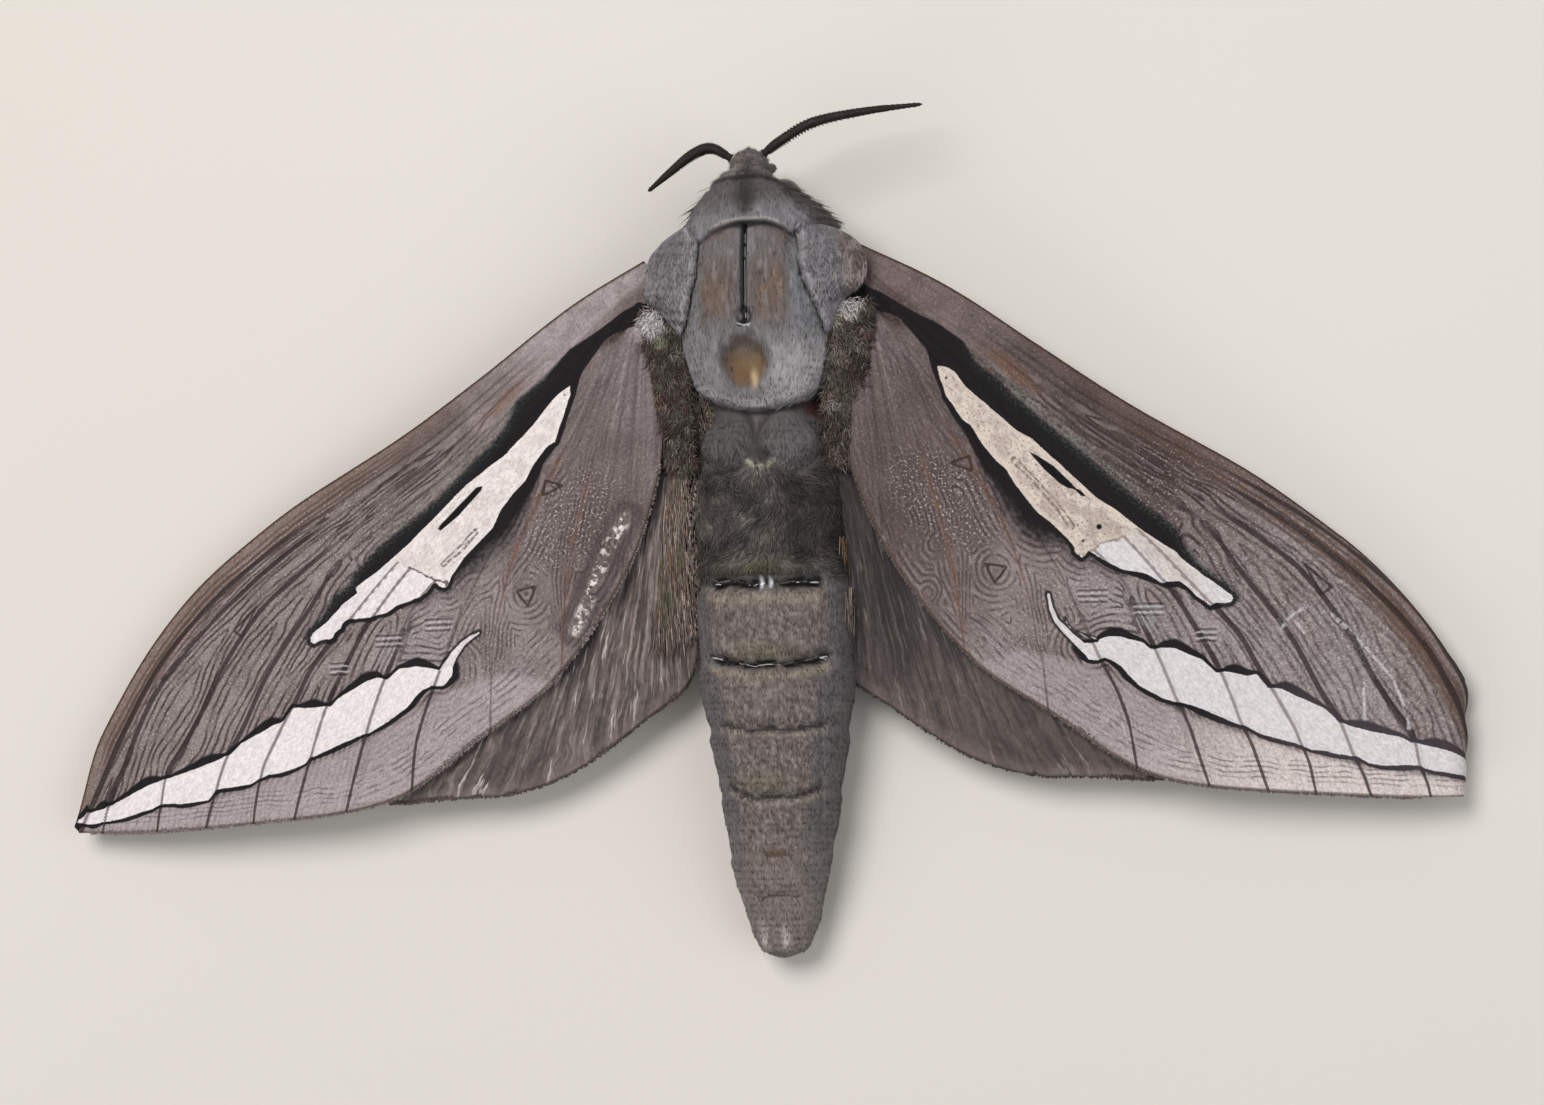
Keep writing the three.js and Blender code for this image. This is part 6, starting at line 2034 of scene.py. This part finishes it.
def root_hair(side_name, side):
    """Long hair from the hindwing's root along the body."""
    s = sizes()
    rng = np.random.default_rng(s.seed + 30 + side)
    count = 8000
    turn = rng.uniform(0.70, 1.25, count)
    reach = 3.0 + 19.0 * rng.uniform(0, 1, count) ** 0.7
    u, v = FAN_CENTRE[0] + reach * np.cos(turn), FAN_CENTRE[1] + reach * np.sin(turn)
    roots, normals, along, back = wing_roots(u, v, side, HINDWING_DROP, 0.30)
    # a golden strand on the right, that ends over the abdomen's flank
    strand = bump(turn - 0.742 - 0.012 * np.sin(reach * 1.3), 0.012) * (side > 0)
    over = (strand > 0.2) & (reach > 16)
    roots[over, 2] = np.maximum(roots[over, 2], flesh_height(*roots[over, :2].T) + 0.25)
    lies = along * np.cos(turn)[:, None] + back * np.sin(turn)[:, None]
    lies = unit(lies + rng.normal(0, 0.07, (count, 3)) + np.array((-0.10 * side, 0, 0)))
    tone = rng.uniform(0, 1, count)
    tints = Tints(shade(106, 92, 84), count)
    tints.lay(shade(174, 158, 148), eased(tone, 0.72, 0.95))
    tints.lay(shade(132, 84, 48), (tone < 0.05) * 1.0)
    tints.lay(shade(84, 84, 62), 0.6 * eased(ripple(turn * 20, reach * 0.4, 1.0, 76), 0.2, 0.6))
    if side > 0:
        tints.lay(shade(142, 104, 60), 0.8 * strand * over * (1 - eased(reach, 17, 19)))
        tints.lay(shade(168, 152, 138), 0.7 * strand * over * eased(reach, 17, 19))
    tints = tints.rgb * rng.uniform(0.65, 1.2, count)[:, None]
    limit = np.clip((hindwing_rear(u) - v) * 0.9 + 0.5, 0.4, 2.6)
    lengths = limit * rng.uniform(0.5, 1.0, count)
    grow(f"coat_hindwing_hair_{side_name}", rng, roots, normals, lies, lengths, (0.05, 0.10),
         (0.02, 0.10), (0.02, 0.10), tints, wing_patches(u, v, side), sections=3, tip_light=1.25)


def wing_base(side_name, side):
    """Short mixed hair between the thorax and the wings, with a white tuft and greenish hair in it."""
    s = sizes()
    rng = np.random.default_rng(s.seed + 40 + side)
    count = 9500
    along, out = rng.uniform(0, 1, (2, count))
    x = 0.35 + side * (4.6 + 3.2 * out * (1 - 0.35 * along) + 0.5 * (1 - along))
    y = 1.6 - 11.0 * along + rng.normal(0, 0.2, count)
    z = 7.85 - 0.75 * out - 1.0 * along + rng.normal(0, 0.10, count)
    roots = np.stack([x, y, z], axis=-1)
    normals = unit(np.stack([side * 0.25 + 0 * x, 0 * x, 1 + 0 * x], axis=-1))
    lies = np.stack([side * (0.35 - 0.4 * along), -0.7 + 0 * x, -0.05 + 0 * x], axis=-1)
    lies = unit(lies + rng.normal(0, 0.5, (count, 3)))
    tints = Tints(shade(78, 66, 60), count)
    tints.lay(shade(112, 102, 92), 0.8 * eased(ripple(x, y, 0.5, 71), 0.05, 0.5))
    tints.lay(shade(88, 84, 72), 0.8 * eased(ripple(x, y, 0.7, 72), 0.25, 0.6))
    tints.lay(shade(40, 32, 30), 0.7 * eased(ripple(x, y, 0.55, 73), 0.15, 0.5))
    tints.lay(shade(84, 46, 40), 0.5 * eased(ripple(x, y, 0.45, 74), 0.4, 0.7))
    tints.lay(shade(150, 140, 134), 0.6 * eased(ripple(x, y, 0.4, 75), 0.4, 0.75))
    for spot_x, spot_y, reach, colour, share in WING_BASE_SPOTS[side]:
        near = np.hypot(x - spot_x, y - spot_y) / reach
        tints.lay(shade(*colour), share * (1 - eased(near, 0.5, 1.1)))
    tints = tints.rgb * rng.uniform(0.7, 1.3, count)[:, None]
    patches = np.c_[0.1 + 0.35 * out + (0.5 if side > 0 else 0), 0.1 + 0.8 * along]
    lengths = s.hair_length / MM * rng.uniform(0.25, 0.6, count)
    grow(f"coat_wing_base_{side_name}", rng, roots, normals, lies, lengths, (0.06, 0.12),
         (-0.05, 0.25), (0.1, 0.4), tints, patches)


def around(ahead, level, angle):
    """Directions at angles round a limb, from the one that is square to it and to level."""
    across = unit(np.cross(ahead, level))
    return across * np.cos(angle)[:, None] + np.cross(ahead, across) * np.sin(angle)[:, None]


def leg_coat():
    """Hair on every leg, long on thigh and shin and short on the foot."""
    s = sizes()
    rng = np.random.default_rng(s.seed + 50)
    each = 1300
    rows = []
    for index, (place, side) in enumerate((place, side) for place in LEGS for side in SIDES.values()):
        route = leg_route(place, side)
        part = rng.uniform(0.06, 0.97, each)
        at = part * (len(route) - 1)
        i = np.minimum(at.astype(int), len(route) - 2)
        centre = route[i] + (route[i + 1] - route[i]) * (at - i)[:, None]
        ahead = unit(route[i + 1] - route[i])
        angle = rng.uniform(0, 2 * math.pi, each)
        normals = around(ahead, (0, 0, 1), angle)
        roots = centre + normals * (leg_radius(part) * 0.92)[:, None]
        length = np.interp(part, (0, 0.45, 0.6, 1), (1.1, 1.0, 0.4, 0.22))
        tints = np.array(colours().leg) * rng.uniform(0.55, 1.4, each)[:, None]
        rows.append((roots, normals, ahead, length * rng.uniform(0.6, 1.1, each), tints,
                     np.c_[0.02 + 0.96 * part, (index + 0.1 + 0.8 * angle / 6.29) / 6]))
    roots, normals, lies, lengths, tints, patches = (np.concatenate(parts) for parts in zip(*rows))
    lies = unit(lies + rng.normal(0, 0.12, lies.shape))
    grow("coat_legs", rng, roots, normals, lies, lengths, (0.05, 0.10), (0.05, 0.22), (0.0, 0.15),
         tints, patches)


def palp_coat():
    """Short hair on the palps, lying towards their tips."""
    s = sizes()
    rng = np.random.default_rng(s.seed + 60)
    each = 1000
    rows = []
    for side in SIDES.values():
        route = spline([(side * x, y, z) for x, y, z in PALP], 60)
        part = rng.uniform(0, 1, each)
        i = (part * (len(route) - 2)).astype(int)
        ahead = unit(route[i + 1] - route[i])
        angle = rng.uniform(0, 2 * math.pi, each)
        normals = around(ahead, (1, 0, 0), angle)
        tints = np.array(shade(104, 93, 86)) * rng.uniform(0.6, 1.35, each)[:, None]
        rows.append((route[i] + normals * (0.32 - 0.08 * part[:, None] ** 2), normals, ahead, tints,
                     np.c_[0.02 + 0.96 * part, (0.5 * (side > 0) + 0.05 + 0.4 * angle / 6.29)]))
    roots, normals, lies, tints, patches = (np.concatenate(parts) for parts in zip(*rows))
    lies = unit(lies + rng.normal(0, 0.15, lies.shape))
    grow("coat_palps", rng, roots, normals, lies, rng.uniform(0.25, 0.6, len(roots)), (0.04, 0.08),
         (0.05, 0.3), (0.0, 0.15), tints, patches)


# ---- operators ----------------------------------------------------------------------------
class MOTH_OT_stage(bpy.types.Operator):
    """Adds the floor, the lights and the camera"""
    bl_idname = "moth.stage"
    bl_label = "Stage"

    def execute(self, context):
        floor = primitive(bpy.ops.mesh.primitive_grid_add, "floor", x_subdivisions=8, y_subdivisions=8,
                          size=1.6)
        floor.data.materials.append(floor_material())
        self.add_light("key", (-0.10, 0.16, 0.42), 0.26, 1.75, (1.0, 0.985, 0.965))
        self.add_light("fill", (0.34, -0.10, 0.30), 0.40, 0.8, (0.96, 0.98, 1.0))
        self.add_light("rim", (-0.30, -0.30, 0.24), 0.30, 0.48, (1.0, 0.97, 0.94))
        world = bpy.data.worlds.new("studio")
        world.use_nodes = True
        world.node_tree.nodes["Background"].inputs["Color"].default_value = (*shade(236, 238, 242), 1)
        world.node_tree.nodes["Background"].inputs["Strength"].default_value = 0.33
        context.scene.world = world
        context.scene.view_settings.view_transform = "Standard"
        self.add_camera(context)
        return {"FINISHED"}

    def add_light(self, name, place, size, energy, colour):
        data = bpy.data.lights.new(name, "AREA")
        data.shape, data.size, data.energy, data.color = "DISK", size, energy, colour
        light = bpy.data.objects.new(name, data)
        light.location = place
        light.rotation_mode = "QUATERNION"
        light.rotation_quaternion = Vector(place).to_track_quat("Z", "Y")
        bpy.context.scene.collection.objects.link(light)

    def add_camera(self, context):
        turn, tilt, roll = CAMERA_TURNS
        about_y = Matrix(((math.cos(turn), 0, -math.sin(turn)), (0, 1, 0),
                          (math.sin(turn), 0, math.cos(turn))))
        about_x = Matrix(((1, 0, 0), (0, math.cos(tilt), math.sin(tilt)),
                          (0, -math.sin(tilt), math.cos(tilt))))
        about_z = Matrix(((math.cos(roll), -math.sin(roll), 0), (math.sin(roll), math.cos(roll), 0),
                          (0, 0, 1)))
        to_camera = about_z @ about_x @ about_y
        aim = Vector((ORIGIN[0], ORIGIN[1], WING_ROOT[2])) * MM
        offset = Vector((
            (LOOK_PIXEL[0] - FRAME_WIDTH / 2) * LOOK_DISTANCE / FOCAL_PIXELS,
            (FRAME_HEIGHT / 2 - LOOK_PIXEL[1]) * LOOK_DISTANCE / FOCAL_PIXELS,
            -LOOK_DISTANCE,
        )) * MM
        data = bpy.data.cameras.new("camera")
        data.sensor_fit = "HORIZONTAL"
        data.sensor_width = SENSOR
        data.lens = SENSOR * FOCAL_PIXELS / FRAME_WIDTH
        data.clip_start, data.clip_end = 0.01, 5.0
        camera = bpy.data.objects.new("camera", data)
        to_world = to_camera.transposed()
        camera.matrix_world = Matrix.Translation(aim - to_world @ offset) @ to_world.to_4x4()
        context.scene.collection.objects.link(camera)
        context.scene.camera = camera


def floor_material():
    made, n, shader = material("floor")
    place = n.add("TexCoord").outputs["Object"]
    soft = n.noise(place, 6.0, 3.0)
    colour = n.mix(n.band(soft, 0.3, 0.7, 0, 0.35), colours().floor, shade(196, 190, 182))
    surface(n, shader, colour, 0.85)
    return made


class MOTH_OT_skin(bpy.types.Operator):
    """Adds the body's skin with its scales and hair"""
    bl_idname = "moth.skin"
    bl_label = "Body"

    def execute(self, context):
        skin = body_skin()
        body_coats(skin)
        return {"FINISHED"}


class MOTH_OT_tegulae(bpy.types.Operator):
    """Adds the two plates over the wing roots"""
    bl_idname = "moth.tegulae"
    bl_label = "Tegulae"

    def execute(self, context):
        tegula_coat([tegula_piece(name, side) for name, side in SIDES.items()])
        return {"FINISHED"}


class MOTH_OT_forewings(bpy.types.Operator):
    """Adds the forewings with their markings"""
    bl_idname = "moth.forewings"
    bl_label = "Forewings"

    def execute(self, context):
        for name, side in SIDES.items():
            forewing_piece(name, side)
            fringe(name, side)
        return {"FINISHED"}


class MOTH_OT_hindwings(bpy.types.Operator):
    """Adds the hindwings with their long hair"""
    bl_idname = "moth.hindwings"
    bl_label = "Hindwings"

    def execute(self, context):
        for name, side in SIDES.items():
            hindwing_piece(name, side)
            root_hair(name, side)
            wing_base(name, side)
        return {"FINISHED"}


class MOTH_OT_eyes(bpy.types.Operator):
    """Adds the two eyes"""
    bl_idname = "moth.eyes"
    bl_label = "Eyes"

    def execute(self, context):
        finish = eye_material()
        for name in SIDES:
            low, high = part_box(f"eye_{name}")
            piece = primitive(bpy.ops.mesh.primitive_uv_sphere_add, f"eye_{name}_ball", segments=64,
                              ring_count=40, radius=(high.x - low.x) / 2 * 0.985, location=(low + high) / 2)
            bpy.ops.object.shade_smooth()
            piece.data.materials.append(finish)
            finish_piece(piece, (f"eye_{name}",))
        return {"FINISHED"}


class MOTH_OT_feelers(bpy.types.Operator):
    """Adds the feelers and the palps"""
    bl_idname = "moth.feelers"
    bl_label = "Feelers"

    def execute(self, context):
        for name, side in SIDES.items():
            antenna_piece(name)
            route = spline([(side * x, y, z) for x, y, z in PALP], 24)
            part = np.linspace(0, 1, 24)
            radii = 0.36 + 0.05 * np.sin(part * 3 * math.pi) - 0.10 * part ** 2
            palp = tube(f"palp_{name}_shell", route, radii, 12)
            points = len(palp.data.vertices)
            clothe(palp.data, np.tile(np.array(shade(78, 66, 58)), (points, 1)), np.zeros(points))
            finish_piece(palp, (f"palp_{name}",))
        palp_coat()
        return {"FINISHED"}


class MOTH_OT_legs(bpy.types.Operator):
    """Adds the six legs with their hair"""
    bl_idname = "moth.legs"
    bl_label = "Legs"

    def execute(self, context):
        for name, side in SIDES.items():
            for place in LEGS:
                leg_piece(name, side, place)
        leg_coat()
        return {"FINISHED"}


class MOTH_PT_panel(bpy.types.Panel):
    """Lists the moth's pieces, sizes and colours"""
    bl_idname = "MOTH_PT_panel"
    bl_label = "Rain Moth"
    bl_space_type = "VIEW_3D"
    bl_region_type = "UI"
    bl_category = "Moth"

    def draw(self, context):
        for step in STEPS:
            self.layout.operator(step.bl_idname)
        for group in (context.scene.moth_sizes, context.scene.moth_colours):
            for name in group.bl_rna.properties.keys():
                if name not in ("rna_type", "name"):
                    self.layout.prop(group, name)


STEPS = (MOTH_OT_stage, MOTH_OT_skin, MOTH_OT_tegulae, MOTH_OT_forewings, MOTH_OT_hindwings, MOTH_OT_eyes,
         MOTH_OT_feelers, MOTH_OT_legs)
CLASSES = (MothSizes, MothColours, *STEPS, MOTH_PT_panel)


def register():
    for item in CLASSES:
        bpy.utils.register_class(item)
    bpy.types.Scene.moth_sizes = bpy.props.PointerProperty(type=MothSizes)
    bpy.types.Scene.moth_colours = bpy.props.PointerProperty(type=MothColours)


def unregister():
    del bpy.types.Scene.moth_colours
    del bpy.types.Scene.moth_sizes
    for item in reversed(CLASSES):
        bpy.utils.unregister_class(item)


def main():
    register()
    bpy.ops.moth.stage()
    bpy.ops.moth.skin()
    bpy.ops.moth.tegulae()
    bpy.ops.moth.forewings()
    bpy.ops.moth.hindwings()
    bpy.ops.moth.eyes()
    bpy.ops.moth.feelers()
    bpy.ops.moth.legs()


if __name__ == "__main__":
    main()
